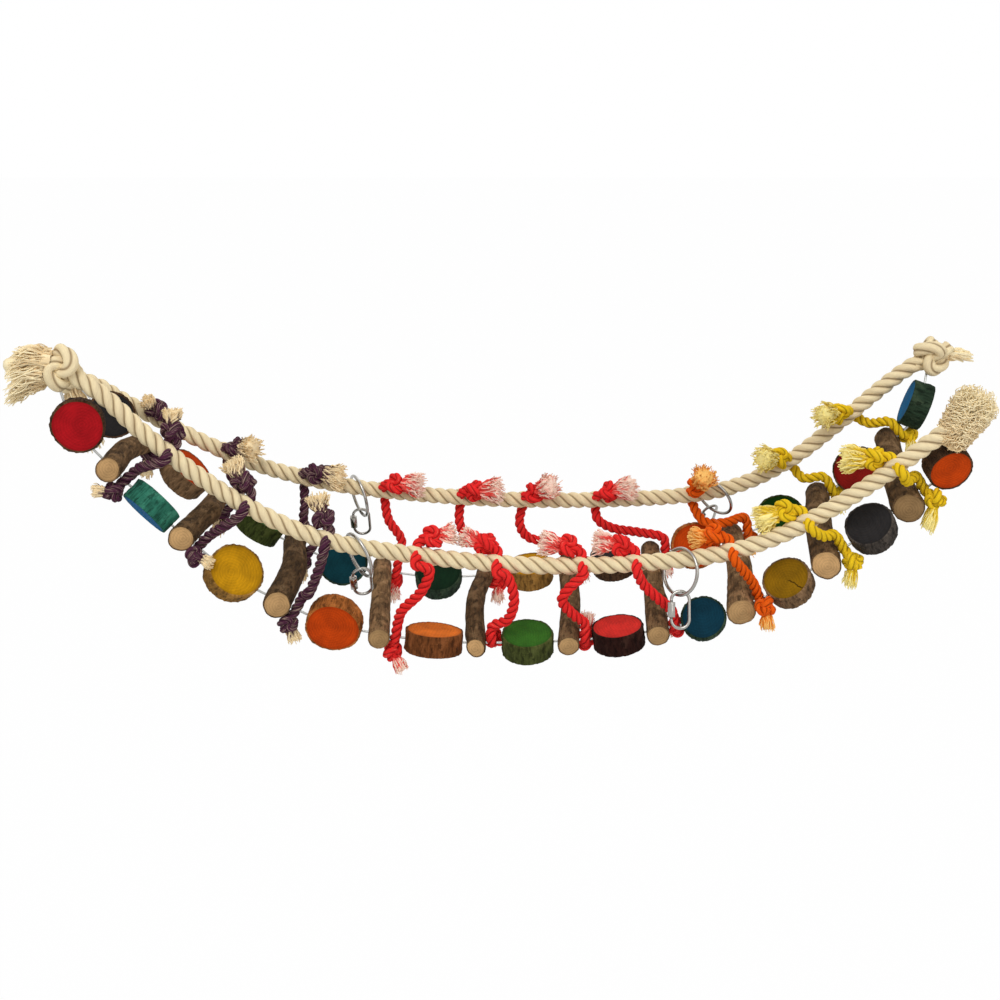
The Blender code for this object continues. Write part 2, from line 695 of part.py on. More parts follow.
def ring_drop(radius, up, across, tangent):
    """Return how far a ring's middle hangs below the rope's, so that its wire just clears the rope."""
    clear = (ROPE_DIAMETER + RING_WIRE) / 2 + RING_GAP
    low, high = 0.0, radius
    for _ in range(30):
        drop = (low + high) / 2
        crown = [math.radians(a) for a in range(30, 151, 3)]
        points = [across * radius * math.cos(a) + up * (radius * math.sin(a) - drop) for a in crown]
        nearest = min((p - p.dot(tangent) * tangent).length for p in points)
        low, high = (drop, high) if nearest > clear else (low, drop)
    return low


def make_hanger(hanger, rope):
    """Hang a ring on the rope, turning about the rope's middle, and a quick link on the ring's wire."""
    station = rope.station_at_x(hanger.x)
    tangent = rope.tangent(station)
    up = Matrix.Rotation(math.radians(hanger.swing), 3, tangent) @ UP
    across = Matrix.Rotation(math.radians(hanger.turn), 3, up) @ up.cross(tangent).normalized()
    at_rope = frame(-across, up, rope.at(station))
    ring_radius = (RING_DIAMETER - RING_WIRE) / 2
    drop = ring_drop(ring_radius, up, across, tangent)
    ring_path = arc_points(Vector((0.0, 0.0, -drop)), ring_radius, 0, 360, 21)[:-1]
    add_object(f"ring_{hanger.name}", loop_mesh(ring_path, RING_WIRE, 6), "steel", at_rope)

    ring_bottom = at_rope @ Vector((0.0, 0.0, -drop - ring_radius))
    link_across = Matrix.Rotation(math.radians(hanger.link_turn), 3, up) @ up.cross(across)
    at_ring = frame(link_across, up, ring_bottom)
    bend = (LINK_WIDTH - LINK_WIRE) / 2
    top = RING_WIRE / 2 + LINK_GAP + LINK_WIRE / 2
    upper = Vector((0.0, 0.0, top - bend))
    lower = Vector((0.0, 0.0, top + LINK_WIRE - LINK_LENGTH + bend))
    link_path = arc_points(upper, bend, 0, 180, 8) + arc_points(lower, bend, 180, 360, 8)
    link = add_object(f"quick_link_{hanger.name}", loop_mesh(link_path, LINK_WIRE, 6), "steel", at_ring)

    nut = bmesh.new()
    bmesh.ops.create_cone(
        nut,
        cap_ends=True,
        segments=6,
        radius1=NUT_ACROSS_FLATS / 2 / math.cos(math.pi / 6),
        radius2=NUT_ACROSS_FLATS / 2 / math.cos(math.pi / 6),
        depth=NUT_LENGTH,
        matrix=Matrix.Translation((bend, 0.0, (upper.z + lower.z) / 2)),
    )
    mesh = bpy.data.meshes.new(f"{link.name} nut")
    nut.to_mesh(mesh)
    nut.free()
    boolean(link, "UNION", hidden_operand(mesh.name, mesh, at_ring))


def main():
    """Build the whole ladder."""
    for found in list(bpy.data.objects):
        bpy.data.objects.remove(found)
    ropes = {}
    rung_places = []
    for side in (FRONT_SIDE, BACK_SIDE):
        wire_points, rungs, crossings, slices = threading(side)
        rope = ropes[side.name] = rope_route(side)
        rung_places.append(rungs)
        make_wire(side, wire_points)
        make_rope(side, rope, crossings, wire_points)
        make_cords(side, rope, crossings)
        for i, (spec, (middle, direction)) in enumerate(zip(side.slices, slices)):
            make_slice(f"slice_{side.name}_{i + 1:02d}", spec, middle, direction)
    for number, (rung, front, back) in enumerate(zip(RUNGS, *rung_places), start=1):
        make_rung(number, rung, front, back)
    for hanger in HANGERS:
        make_hanger(hanger, ropes[hanger.side.name])


main()
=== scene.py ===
"""Looks of a bird rope ladder: laid cotton ropes, dyed cords and slices, bark rungs and steel fittings.

Every line, hole and bead lies where the solid model has it: ropes, cords and wires repeat its chosen points.
Metres, +X along the ladder, the front towards -Y, +Z up.
"""

from __future__ import annotations

import json
import logging
import math
import random
from bisect import bisect_right
from dataclasses import dataclass, replace
from enum import Enum
from typing import Any, Callable, Sequence

import bmesh
import bpy
from bmesh.types import BMesh, BMFace, BMVert
from mathutils import Matrix, Vector, noise
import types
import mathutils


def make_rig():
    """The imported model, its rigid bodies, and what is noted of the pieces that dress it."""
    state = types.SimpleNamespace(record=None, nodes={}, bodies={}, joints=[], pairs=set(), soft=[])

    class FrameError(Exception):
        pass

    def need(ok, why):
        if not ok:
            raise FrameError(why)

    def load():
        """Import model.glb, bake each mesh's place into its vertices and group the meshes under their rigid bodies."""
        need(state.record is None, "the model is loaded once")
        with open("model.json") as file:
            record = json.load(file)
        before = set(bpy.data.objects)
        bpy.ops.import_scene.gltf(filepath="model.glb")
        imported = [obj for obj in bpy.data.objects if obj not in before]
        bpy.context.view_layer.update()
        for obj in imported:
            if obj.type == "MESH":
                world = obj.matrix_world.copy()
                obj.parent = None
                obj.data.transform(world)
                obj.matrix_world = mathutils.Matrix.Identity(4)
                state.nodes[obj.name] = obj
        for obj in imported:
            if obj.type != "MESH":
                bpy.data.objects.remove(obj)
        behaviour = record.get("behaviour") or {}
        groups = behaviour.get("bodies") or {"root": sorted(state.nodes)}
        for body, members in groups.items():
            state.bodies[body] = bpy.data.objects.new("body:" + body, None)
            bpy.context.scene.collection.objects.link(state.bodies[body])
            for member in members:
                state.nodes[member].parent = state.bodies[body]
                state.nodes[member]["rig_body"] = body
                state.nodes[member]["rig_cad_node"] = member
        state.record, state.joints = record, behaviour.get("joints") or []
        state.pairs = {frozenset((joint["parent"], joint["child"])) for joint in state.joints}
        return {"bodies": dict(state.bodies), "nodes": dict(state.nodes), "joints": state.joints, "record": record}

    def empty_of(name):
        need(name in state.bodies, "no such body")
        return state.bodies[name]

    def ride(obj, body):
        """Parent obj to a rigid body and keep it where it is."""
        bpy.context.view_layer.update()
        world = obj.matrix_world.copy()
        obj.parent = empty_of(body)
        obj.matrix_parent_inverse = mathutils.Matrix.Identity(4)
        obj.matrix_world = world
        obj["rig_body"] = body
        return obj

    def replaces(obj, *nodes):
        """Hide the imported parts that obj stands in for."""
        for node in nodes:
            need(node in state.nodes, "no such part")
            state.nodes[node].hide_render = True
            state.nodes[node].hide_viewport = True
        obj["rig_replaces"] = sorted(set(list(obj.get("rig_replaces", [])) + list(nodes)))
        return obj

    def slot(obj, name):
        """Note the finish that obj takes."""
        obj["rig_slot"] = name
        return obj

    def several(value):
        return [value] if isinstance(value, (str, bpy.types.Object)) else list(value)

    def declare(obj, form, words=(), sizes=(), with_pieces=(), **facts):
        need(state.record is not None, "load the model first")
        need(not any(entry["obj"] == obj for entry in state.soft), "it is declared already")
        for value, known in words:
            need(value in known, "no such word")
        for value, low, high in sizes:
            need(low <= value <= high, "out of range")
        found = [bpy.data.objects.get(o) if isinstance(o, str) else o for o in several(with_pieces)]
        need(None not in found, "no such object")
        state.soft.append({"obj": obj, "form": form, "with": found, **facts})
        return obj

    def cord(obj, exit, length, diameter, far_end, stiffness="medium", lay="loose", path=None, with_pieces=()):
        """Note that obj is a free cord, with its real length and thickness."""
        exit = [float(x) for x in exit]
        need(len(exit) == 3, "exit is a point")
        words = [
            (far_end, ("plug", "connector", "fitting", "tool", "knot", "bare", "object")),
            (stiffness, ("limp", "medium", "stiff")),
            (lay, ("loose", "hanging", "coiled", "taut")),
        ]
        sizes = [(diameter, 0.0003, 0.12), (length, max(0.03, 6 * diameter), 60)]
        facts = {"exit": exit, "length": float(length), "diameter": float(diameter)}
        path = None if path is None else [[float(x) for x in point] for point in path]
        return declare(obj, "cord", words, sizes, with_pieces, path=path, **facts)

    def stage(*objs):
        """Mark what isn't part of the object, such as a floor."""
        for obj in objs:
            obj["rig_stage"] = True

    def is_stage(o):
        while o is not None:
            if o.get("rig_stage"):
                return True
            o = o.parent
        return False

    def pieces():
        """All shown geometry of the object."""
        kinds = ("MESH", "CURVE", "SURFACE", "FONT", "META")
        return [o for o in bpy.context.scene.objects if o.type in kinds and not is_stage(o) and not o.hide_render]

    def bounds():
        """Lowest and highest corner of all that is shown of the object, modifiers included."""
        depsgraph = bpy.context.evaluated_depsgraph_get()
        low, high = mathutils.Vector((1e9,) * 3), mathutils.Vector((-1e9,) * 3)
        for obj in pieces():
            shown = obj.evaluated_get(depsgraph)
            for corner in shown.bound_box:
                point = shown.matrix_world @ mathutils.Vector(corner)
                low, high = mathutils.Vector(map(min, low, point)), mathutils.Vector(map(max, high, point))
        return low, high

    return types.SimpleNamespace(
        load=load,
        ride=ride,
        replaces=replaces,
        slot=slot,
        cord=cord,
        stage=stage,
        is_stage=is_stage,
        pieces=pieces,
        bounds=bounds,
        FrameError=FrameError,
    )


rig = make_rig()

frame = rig.load()
SOLID_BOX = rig.bounds()
LOG = logging.getLogger("ladder")
UP = Vector((0.0, 0.0, 1.0))
FRONT, BACK = -1, 1
LADDER_BODY = "ladder"
SEAM = 1e-6
Colour = Point = Scale = tuple[float, float, float]

# Sizes of the solid model.
LADDER_WIDTH = 0.170
ROPE_DIAMETER = 0.017
CORD_DIAMETER = 0.010
WIRE_DIAMETER = 0.0025
SLICE_THICKNESS = 0.022
RING_DIAMETER, RING_WIRE = 0.050, 0.0035
LINK_LENGTH, LINK_WIDTH, LINK_WIRE = 0.040, 0.021, 0.0032
NUT_LENGTH, NUT_ACROSS_FLATS = 0.015, 0.0074
BEAD_GAP, RING_GAP, LINK_GAP = 0.001, 0.0007, 0.0005

# Surface coordinates: their names, and the length that one unit of them stands for.
UV_NAME, SHARE_NAME = "UVMap", "Share"
UV_METRES = 0.05

# How cotton and wood look. Dull is the little that they shine.
DULL = 0.06
COTTON_ROUGHNESS = 0.95
CREAM = (0.74, 0.60, 0.40)
BARK_COLOUR = (0.135, 0.078, 0.036)
CUT_COLOUR = (0.50, 0.30, 0.13)

# Ropes and cords, and their overhand knots in rope radii: the gap in a knot's curve, its steps, its width and
# rise, and how the rope enters it.
STRANDS = 3
KNOT_MOUTH, KNOT_STEPS, KNOT_WIDTH, KNOT_RISE = 0.02, 28, 0.86, 1.15
KNOT_ENTRY = ((0.0, -0.3, 2.9), (-0.4, -0.8, 1.5))
# How far outwards and above a rope's middle its cords come out, in rope radii.
CORD_EXIT = ((-0.2, 0.35), (0.85, 0.15), (1.50, -0.55))


class Dye(Enum):
    """The dyes of the cords and slices, as linear colours."""

    RED = (0.39, 0.007, 0.011)
    SCARLET = (0.62, 0.028, 0.021)
    WINE = (0.24, 0.010, 0.007)
    BLUE = (0.003, 0.110, 0.270)
    NAVY = (0.004, 0.036, 0.060)
    TEAL = (0.004, 0.040, 0.052)
    YELLOW = (0.54, 0.26, 0.005)
    OLIVE = (0.24, 0.120, 0.003)
    ORANGE = (0.56, 0.056, 0.003)
    AMBER = (0.69, 0.160, 0.018)
    GREEN = (0.034, 0.128, 0.013)
    FOREST = (0.007, 0.044, 0.004)
    PINE = (0.006, 0.024, 0.010)
    BLACK = (0.023, 0.021, 0.021)
    CORD_PURPLE = (0.080, 0.022, 0.048)
    CORD_RED = (0.92, 0.030, 0.028)
    CORD_YELLOW = (0.95, 0.60, 0.018)
    CORD_ORANGE = (0.90, 0.120, 0.007)


class Rim(Enum):
    """The bark edge of a slice, as the dye left it, as a linear colour."""

    BARK = (0.170, 0.098, 0.048)
    GOLD = (0.250, 0.125, 0.028)
    RUST = (0.320, 0.105, 0.024)
    BROWN = (0.150, 0.048, 0.014)
    MOSS = (0.054, 0.064, 0.016)
    SOOT = (0.022, 0.007, 0.005)
    SEA = (0.025, 0.138, 0.090)
    PINE = (0.019, 0.036, 0.020)
    LEAF = (0.038, 0.050, 0.011)
    WALNUT = (0.062, 0.031, 0.015)
    CHAR = (0.052, 0.043, 0.036)


# Shades of a dye share the slot of the plain one.
SLOT_DYES = {
    Dye.SCARLET: Dye.RED, Dye.WINE: Dye.RED, Dye.AMBER: Dye.ORANGE,
    Dye.FOREST: Dye.GREEN, Dye.PINE: Dye.GREEN, Dye.NAVY: Dye.BLUE,
}


@dataclass(frozen=True)
class Rung:
    """A branch: its diameter and overhang at each wire, its bow in X and Z, and its knobs.

    A knob is its share of the way along, its angle round the branch, its height and its width. Tone and cut
    are how light its bark and its sawn ends are.
    """

    front_diameter: float
    back_diameter: float
    front_overhang: float = 0.012
    back_overhang: float = 0.018
    bow: tuple[float, float] = (0.0, 0.0)
    knobs: tuple[tuple[float, float, float, float], ...] = ()
    tone: float = 1.0
    cut: float = 1.0


@dataclass(frozen=True)
class Slice:
    """A dyed disc sawn across a branch: its diameter, dye, turn on the wire, rim, and any crack's angle."""

    diameter: float
    dye: Dye
    turn: float
    rim: Rim
    crack: float | None = None


@dataclass(frozen=True)
class Cord:
    """A hanger cord: where it pierces its rope, its dye, how its ends lie, and the points it passes.

    The knot on the wire hangs below it at 0 degrees, lies outwards at 90 and inwards at -90. Its tail has a
    length and a way, in X, outwards and Z. Crown is how big the tassel on the rope is, 1 for the common one.
    """

    pierce_x: float
    dye: Dye
    tassel_side: int
    tassel_rise: float
    knot_turn: float
    points: tuple[Point, ...]
    tail: float = 0.013
    tail_way: Point = (0.0, -0.8, -0.5)
    crown: float = 1.0


@dataclass(frozen=True)
class Brush:
    """How a tassel lies: where past the knot it starts, its length, and its radius at the root and the tip.

    Curl is how far out its yarns wind and turns how often. Droop is how far it sinks for its length, and lump
    how uneven its body is.
    """

    start: float
    length: float
    root: float
    tip: float
    yarns: int
    thickness: float = 0.0008
    curl: float = 0.0008
    turns: float = 1.0
    droop: float = 0.05
    lump: float = 0.25

    def sized(self, factor: float) -> Brush:
        """Return the same tassel larger or smaller, of the same yarn."""
        return replace(self, length=self.length * factor, root=self.root * factor, tip=self.tip * factor)


# A tail's length here is the part inside its knot, to which each cord adds its own.
CROWN = Brush(0.005, 0.0255, 0.0060, 0.0170, 130, 0.0009, 0.0015)
TAIL = Brush(0.005, 0.006, 0.0040, 0.0085, 50)
FLOWING = Brush(0.006, 0.040, 0.016, 0.029, 430, 0.0008, 0.0018, 1.2, 0.40, 0.5)
FLEECE = Brush(-0.030, 0.055, 0.013, 0.022, 640, 0.0007, 0.0030, 4.0, 0.0, 0.6)
HANGING = Brush(0.010, 0.074, 0.008, 0.017, 200, 0.0009, 0.0010, 1.0, 0.0)
STUBS = Brush(0.010, 0.034, 0.006, 0.007, 26, 0.0017, 0.0010, 1.0, 0.15)


@dataclass(frozen=True)
class RopeEnd:
    """The end of a rope: its knot, the way of its tassel and how that lies, and the radius in the knot."""

    knot: Point
    way: Point
    brush: Brush
    knot_unit: float = 0.0063


@dataclass(frozen=True)
class Side:
    """One side of the ladder. Points are X, the distance outwards from the side's plane, and Z.

    Lean is how far the cords go outwards through the rope for each metre that they go down.
    """

    name: str
    sign: int
    lean: float
    rope_points: tuple[Point, ...]
    left_end: RopeEnd
    right_end: RopeEnd
    wire_points: tuple[Point, ...]
    middle_rung_x: float
    slices: tuple[Slice, ...]
    slack: tuple[float, ...]
    cords: tuple[Cord, ...]

    def outwards(self) -> Vector:
        """Return the unit vector from the ladder's middle to this side."""
        return Vector((0.0, self.sign, 0.0))

    def place(self, point: Point) -> Vector:
        """Turn X, the distance outwards and Z into a point of the ladder."""
        x, outwards, z = point
        return Vector((x, self.sign * (LADDER_WIDTH / 2 + outwards), z))

    def way(self, direction: Point) -> Vector:
        """Turn a direction in X, outwards and Z into a unit vector of the ladder."""
        x, outwards, z = direction
        return Vector((x, self.sign * outwards, z)).normalized()


@dataclass(frozen=True)
class Hanger:
    """A ring on a rope with its quick link: place, turn about the vertical, swing, and the link's turn."""

    name: str
    side: Side
    x: float
    turn: float
    swing: float
    link_turn: float


RUNGS = (
    Rung(0.024, 0.022, 0.012, 0.012, (-0.004, 0.004), ((0.06, 200, 0.003, 0.010),), 1.1, 1.0),
    Rung(0.025, 0.022, 0.012, 0.018, (0.006, 0.004), ((0.42, 20, 0.006, 0.016),), 0.85, 1.1),
    Rung(0.028, 0.025, 0.012, 0.040, (0.007, 0.002), ((0.3, 150, 0.002, 0.020),), 0.66, 1.0),
    Rung(0.022, 0.021, tone=1.55, cut=0.74),
    Rung(
        0.020, 0.019, 0.012, 0.036, (-0.006, 0.005),
        ((0.15, 160, 0.004, 0.010), (0.5, 120, 0.003, 0.012)), 0.8, 1.15,
    ),
    Rung(0.022, 0.020, bow=(0.003, -0.002), tone=1.1, cut=1.0),
    Rung(0.023, 0.021, 0.012, 0.014, (0.0, 0.0), ((0.35, 40, 0.0025, 0.014),), 1.2, 0.9),
    Rung(0.029, 0.025, 0.012, 0.009, (0.004, 0.0), tone=1.5, cut=0.95),
    Rung(0.030, 0.026, bow=(-0.003, 0.002), tone=0.85, cut=1.2),
    Rung(0.030, 0.025, 0.012, 0.018, (-0.005, 0.003), ((0.1, 160, 0.003, 0.014),), 0.85, 0.60),
)
MIDDLE_RUNG = 4

FRONT_SIDE = Side(
    name="front",
    sign=FRONT,
    lean=0.5,
    rope_points=(
        (-0.381, 0, 0.162), (-0.347, 0, 0.126), (-0.311, 0, 0.093), (-0.274, 0, 0.064),
        (-0.236, 0, 0.040), (-0.198, 0, 0.021), (-0.159, 0, 0.008), (-0.100, 0, -0.002),
        (-0.040, 0, -0.010), (0.020, 0, -0.015), (0.080, 0, -0.016), (0.140, 0, -0.013),
        (0.199, 0, -0.007), (0.239, 0, 0.002), (0.278, 0, 0.017), (0.315, 0, 0.038),
        (0.352, 0, 0.063), (0.389, 0, 0.091), (0.418, 0, 0.115),
    ),
    left_end=RopeEnd((-0.416, 0, 0.187), (-1.0, 0.05, 0.12), FLOWING),
    right_end=RopeEnd((0.446, 0, 0.136), (0.40, 0.1, 0.85), FLEECE, 0.0036),
    wire_points=(
        (-0.420, 0.002, 0.176), (-0.407, 0.006, 0.130), (-0.372, 0.004, 0.084), (-0.315, 0, 0.018),
        (-0.245, 0, -0.042), (-0.168, 0, -0.080), (-0.080, 0, -0.098), (0.010, 0, -0.101),
        (0.100, 0, -0.096), (0.185, 0, -0.081), (0.265, 0, -0.051), (0.340, -0.004, -0.001),
        (0.398, -0.012, 0.042), (0.436, -0.017, 0.074), (0.455, -0.004, 0.123),
    ),
    middle_rung_x=-0.024,
    slices=(
        Slice(0.053, Dye.RED, -20, Rim.WALNUT), Slice(0.055, Dye.BLUE, 62, Rim.SEA),
        Slice(0.058, Dye.YELLOW, -48, Rim.GOLD), Slice(0.058, Dye.ORANGE, 8, Rim.RUST),
        Slice(0.060, Dye.AMBER, -99, Rim.BROWN), Slice(0.054, Dye.GREEN, -80, Rim.MOSS),
        Slice(0.054, Dye.SCARLET, -87, Rim.SOOT), Slice(0.047, Dye.NAVY, -32, Rim.PINE),
        Slice(0.050, Dye.OLIVE, -57, Rim.BARK, crack=65), Slice(0.050, Dye.BLACK, -60, Rim.CHAR),
        Slice(0.046, Dye.ORANGE, 30, Rim.WALNUT),
    ),
    slack=(0.012, 0.004, 0.017, 0.012, 0.006, 0.006, 0.002, 0.001, 0.004, 0.005, 0.010),
    cords=(
        Cord(-0.321, Dye.CORD_PURPLE, -1, 50, 40, ((-0.343, 0.010, 0.092),), 0.009, (-1.0, 0.1, 0.1), 0.65),
        Cord(-0.250, Dye.CORD_PURPLE, -1, 30, 80, ((-0.266, 0.010, 0.033),), 0.007, (0.9, 0.3, -0.2), 0.8),
        Cord(
            -0.172, Dye.CORD_PURPLE, -1, 60, 15, ((-0.179, 0.012, -0.013), (-0.191, 0.008, -0.042)),
            0.010, (0.3, 0.0, -1.0), 0.8,
        ),
        Cord(
            -0.083, Dye.CORD_RED, 1, 20, 0,
            ((-0.070, 0.012, -0.016), (-0.079, 0.010, -0.040), (-0.098, 0.004, -0.062)),
            0.013, (0.5, 0.3, -0.9), 0.7,
        ),
        Cord(
            -0.003, Dye.CORD_RED, -1, 15, -80,
            ((0.007, 0.012, -0.022), (0.014, 0.012, -0.047), (0.008, 0.008, -0.071)), crown=0.75,
        ),
        Cord(
            0.082, Dye.CORD_RED, -1, 10, -60,
            ((0.069, 0.014, -0.034), (0.062, 0.012, -0.049), (0.074, 0.006, -0.067)),
            0.018, (0.1, -0.4, 1.0), 0.9,
        ),
        Cord(
            0.136, Dye.CORD_RED, -1, 10, -60, ((0.143, 0.010, -0.032), (0.157, 0.008, -0.047)), crown=0.85,
        ),
        Cord(0.231, Dye.CORD_ORANGE, -1, 10, 80, ((0.243, 0.008, -0.019),), 0.012, (0.1, 0.2, -1.0), 0.68),
        Cord(0.304, Dye.CORD_YELLOW, -1, 10, 40, ((0.320, 0.006, 0.018),), 0.014, (-0.1, 0.2, -1.0)),
        Cord(0.386, Dye.CORD_YELLOW, -1, 35, 60, ((0.397, 0.002, 0.074),), 0.020, (-0.2, 0.1, -1.0)),
    ),
)

BACK_SIDE = Side(
    name="back",
    sign=BACK,
    lean=1.0,
    rope_points=(
        (-0.434, 0, 0.123), (-0.414, 0, 0.110), (-0.372, 0, 0.085), (-0.330, 0, 0.062),
        (-0.288, 0, 0.042), (-0.244, 0, 0.026), (-0.178, 0, 0.010), (-0.089, 0, -0.001),
        (0.000, 0, -0.007), (0.090, 0, -0.008), (0.157, 0, -0.006), (0.201, 0, -0.003),
        (0.246, 0, 0.004), (0.289, 0, 0.020), (0.331, 0, 0.047), (0.372, 0, 0.083),
        (0.412, 0, 0.120), (0.437, 0, 0.141),
    ),
    left_end=RopeEnd((-0.470, 0, 0.139), (0.22, 0.1, -1.0), HANGING),
    right_end=RopeEnd((0.463, 0, 0.158), (1.0, 0.1, 0.05), STUBS),
    wire_points=(
        (-0.466, -0.004, 0.136), (-0.446, -0.036, 0.128), (-0.418, -0.043, 0.112),
        (-0.388, -0.037, 0.078), (-0.349, -0.023, 0.034), (-0.300, -0.007, -0.013),
        (-0.240, 0, -0.058), (-0.175, 0, -0.085), (-0.100, 0, -0.099), (-0.016, 0, -0.100),
        (0.070, 0, -0.091), (0.160, 0, -0.076), (0.250, 0, -0.056), (0.310, 0, -0.034),
        (0.356, -0.004, -0.005), (0.395, -0.010, 0.032), (0.426, -0.020, 0.067),
        (0.449, -0.023, 0.102), (0.460, -0.004, 0.146),
    ),
    middle_rung_x=-0.018,
    slices=(
        Slice(0.052, Dye.BLACK, -20, Rim.WALNUT), Slice(0.056, Dye.ORANGE, -68, Rim.BARK),
        Slice(0.056, Dye.GREEN, -90, Rim.LEAF), Slice(0.056, Dye.TEAL, -20, Rim.PINE),
        Slice(0.054, Dye.PINE, -50, Rim.PINE), Slice(0.051, Dye.YELLOW, -80, Rim.GOLD),
        Slice(0.052, Dye.BLACK, -75, Rim.WALNUT), Slice(0.056, Dye.ORANGE, -20, Rim.RUST),
        Slice(0.056, Dye.FOREST, -25, Rim.LEAF), Slice(0.053, Dye.WINE, -20, Rim.WALNUT),
        Slice(0.051, Dye.BLUE, -133, Rim.PINE),
    ),
    slack=(0.009, 0.010, 0.009, 0.012, 0.030, 0.012, 0.010, 0.002, 0.010, 0.006, 0.007),
    cords=(
        Cord(-0.368, Dye.CORD_PURPLE, -1, 40, 45, ((-0.358, 0.0, 0.061),), crown=0.55),
        Cord(-0.304, Dye.CORD_PURPLE, 1, 50, 15, ((-0.300, 0.004, 0.020),)),
        Cord(-0.219, Dye.CORD_PURPLE, 1, 10, 0, ((-0.219, 0.002, -0.012), (-0.221, 0.002, -0.036))),
        Cord(-0.130, Dye.CORD_RED, 1, 15, 30, ((-0.126, 0.002, -0.031), (-0.112, 0.002, -0.056))),
        Cord(
            -0.043, Dye.CORD_RED, 1, 15, 30,
            ((-0.046, 0.004, -0.033), (-0.038, 0.004, -0.056), (-0.016, 0.002, -0.066)),
        ),
        Cord(
            0.028, Dye.CORD_RED, 1, 50, 80,
            ((0.022, 0.004, -0.036), (0.032, 0.006, -0.055), (0.060, 0.004, -0.061)),
        ),
        Cord(
            0.108, Dye.CORD_RED, 1, 30, 45,
            ((0.110, 0.004, -0.032), (0.128, 0.006, -0.044), (0.156, 0.004, -0.048)),
        ),
        Cord(0.213, Dye.CORD_ORANGE, 1, 75, 45, ((0.226, -0.010, -0.028), (0.250, -0.016, -0.029))),
        Cord(0.320, Dye.CORD_YELLOW, -1, 60, 45, ((0.337, 0.002, 0.018),)),
        Cord(0.383, Dye.CORD_YELLOW, -1, 60, 45, ((0.404, 0.0, 0.082),)),
    ),
)

HANGERS = (
    Hanger("front_left", FRONT_SIDE, -0.141, 40, 23, -25),
    Hanger("front_right", FRONT_SIDE, 0.180, 40, -24, -40),
    Hanger("back_left", BACK_SIDE, -0.158, 30, 20, -25),
    Hanger("back_right", BACK_SIDE, 0.241, 40, 37, -25),
)


class Value:
    """A socket of a node tree, with maths on it written as an expression."""

    def __init__(self, nodes: Nodes, socket: Any) -> None:
        """Wrap a socket of a node tree."""
        self.nodes = nodes
        self.socket = socket

    def _maths(self, operation: str, *operands: Any) -> Value:
        """Add a Math node for an operation on the operands."""
        inputs = dict(enumerate(operands))
        return self.nodes.add("ShaderNodeMath", {"operation": operation}, inputs)

    def __add__(self, other: Any) -> Value:
        """Return the sum."""
        return self._maths("ADD", self, other)

    def __sub__(self, other: Any) -> Value:
        """Return the difference."""
        return self._maths("SUBTRACT", self, other)

    def __rsub__(self, other: Any) -> Value:
        """Return the difference from a number."""
        return self._maths("SUBTRACT", other, self)

    def __mul__(self, other: Any) -> Value:
        """Return the product."""
        return self._maths("MULTIPLY", self, other)

    __radd__ = __add__
    __rmul__ = __mul__

    def __mod__(self, other: float) -> Value:
        """Return the remainder, which is never negative."""
        return self._maths("FLOORED_MODULO", self, other)

    def __abs__(self) -> Value:
        """Return the size without its sign."""
        return self._maths("ABSOLUTE", self)

    def step(self, low: float, high: float) -> Value:
        """Return a soft step from 0 at low to 1 at high."""
        inputs = {0: self, 1: low, 2: high, 3: 0.0, 4: 1.0}
        return self.nodes.add("ShaderNodeMapRange", {"interpolation_type": "SMOOTHSTEP"}, inputs)

    def beside(self, output: Any) -> Value:
        """Return another output of the same node, by its name or number."""
        return Value(self.nodes, self.socket.node.outputs[output])


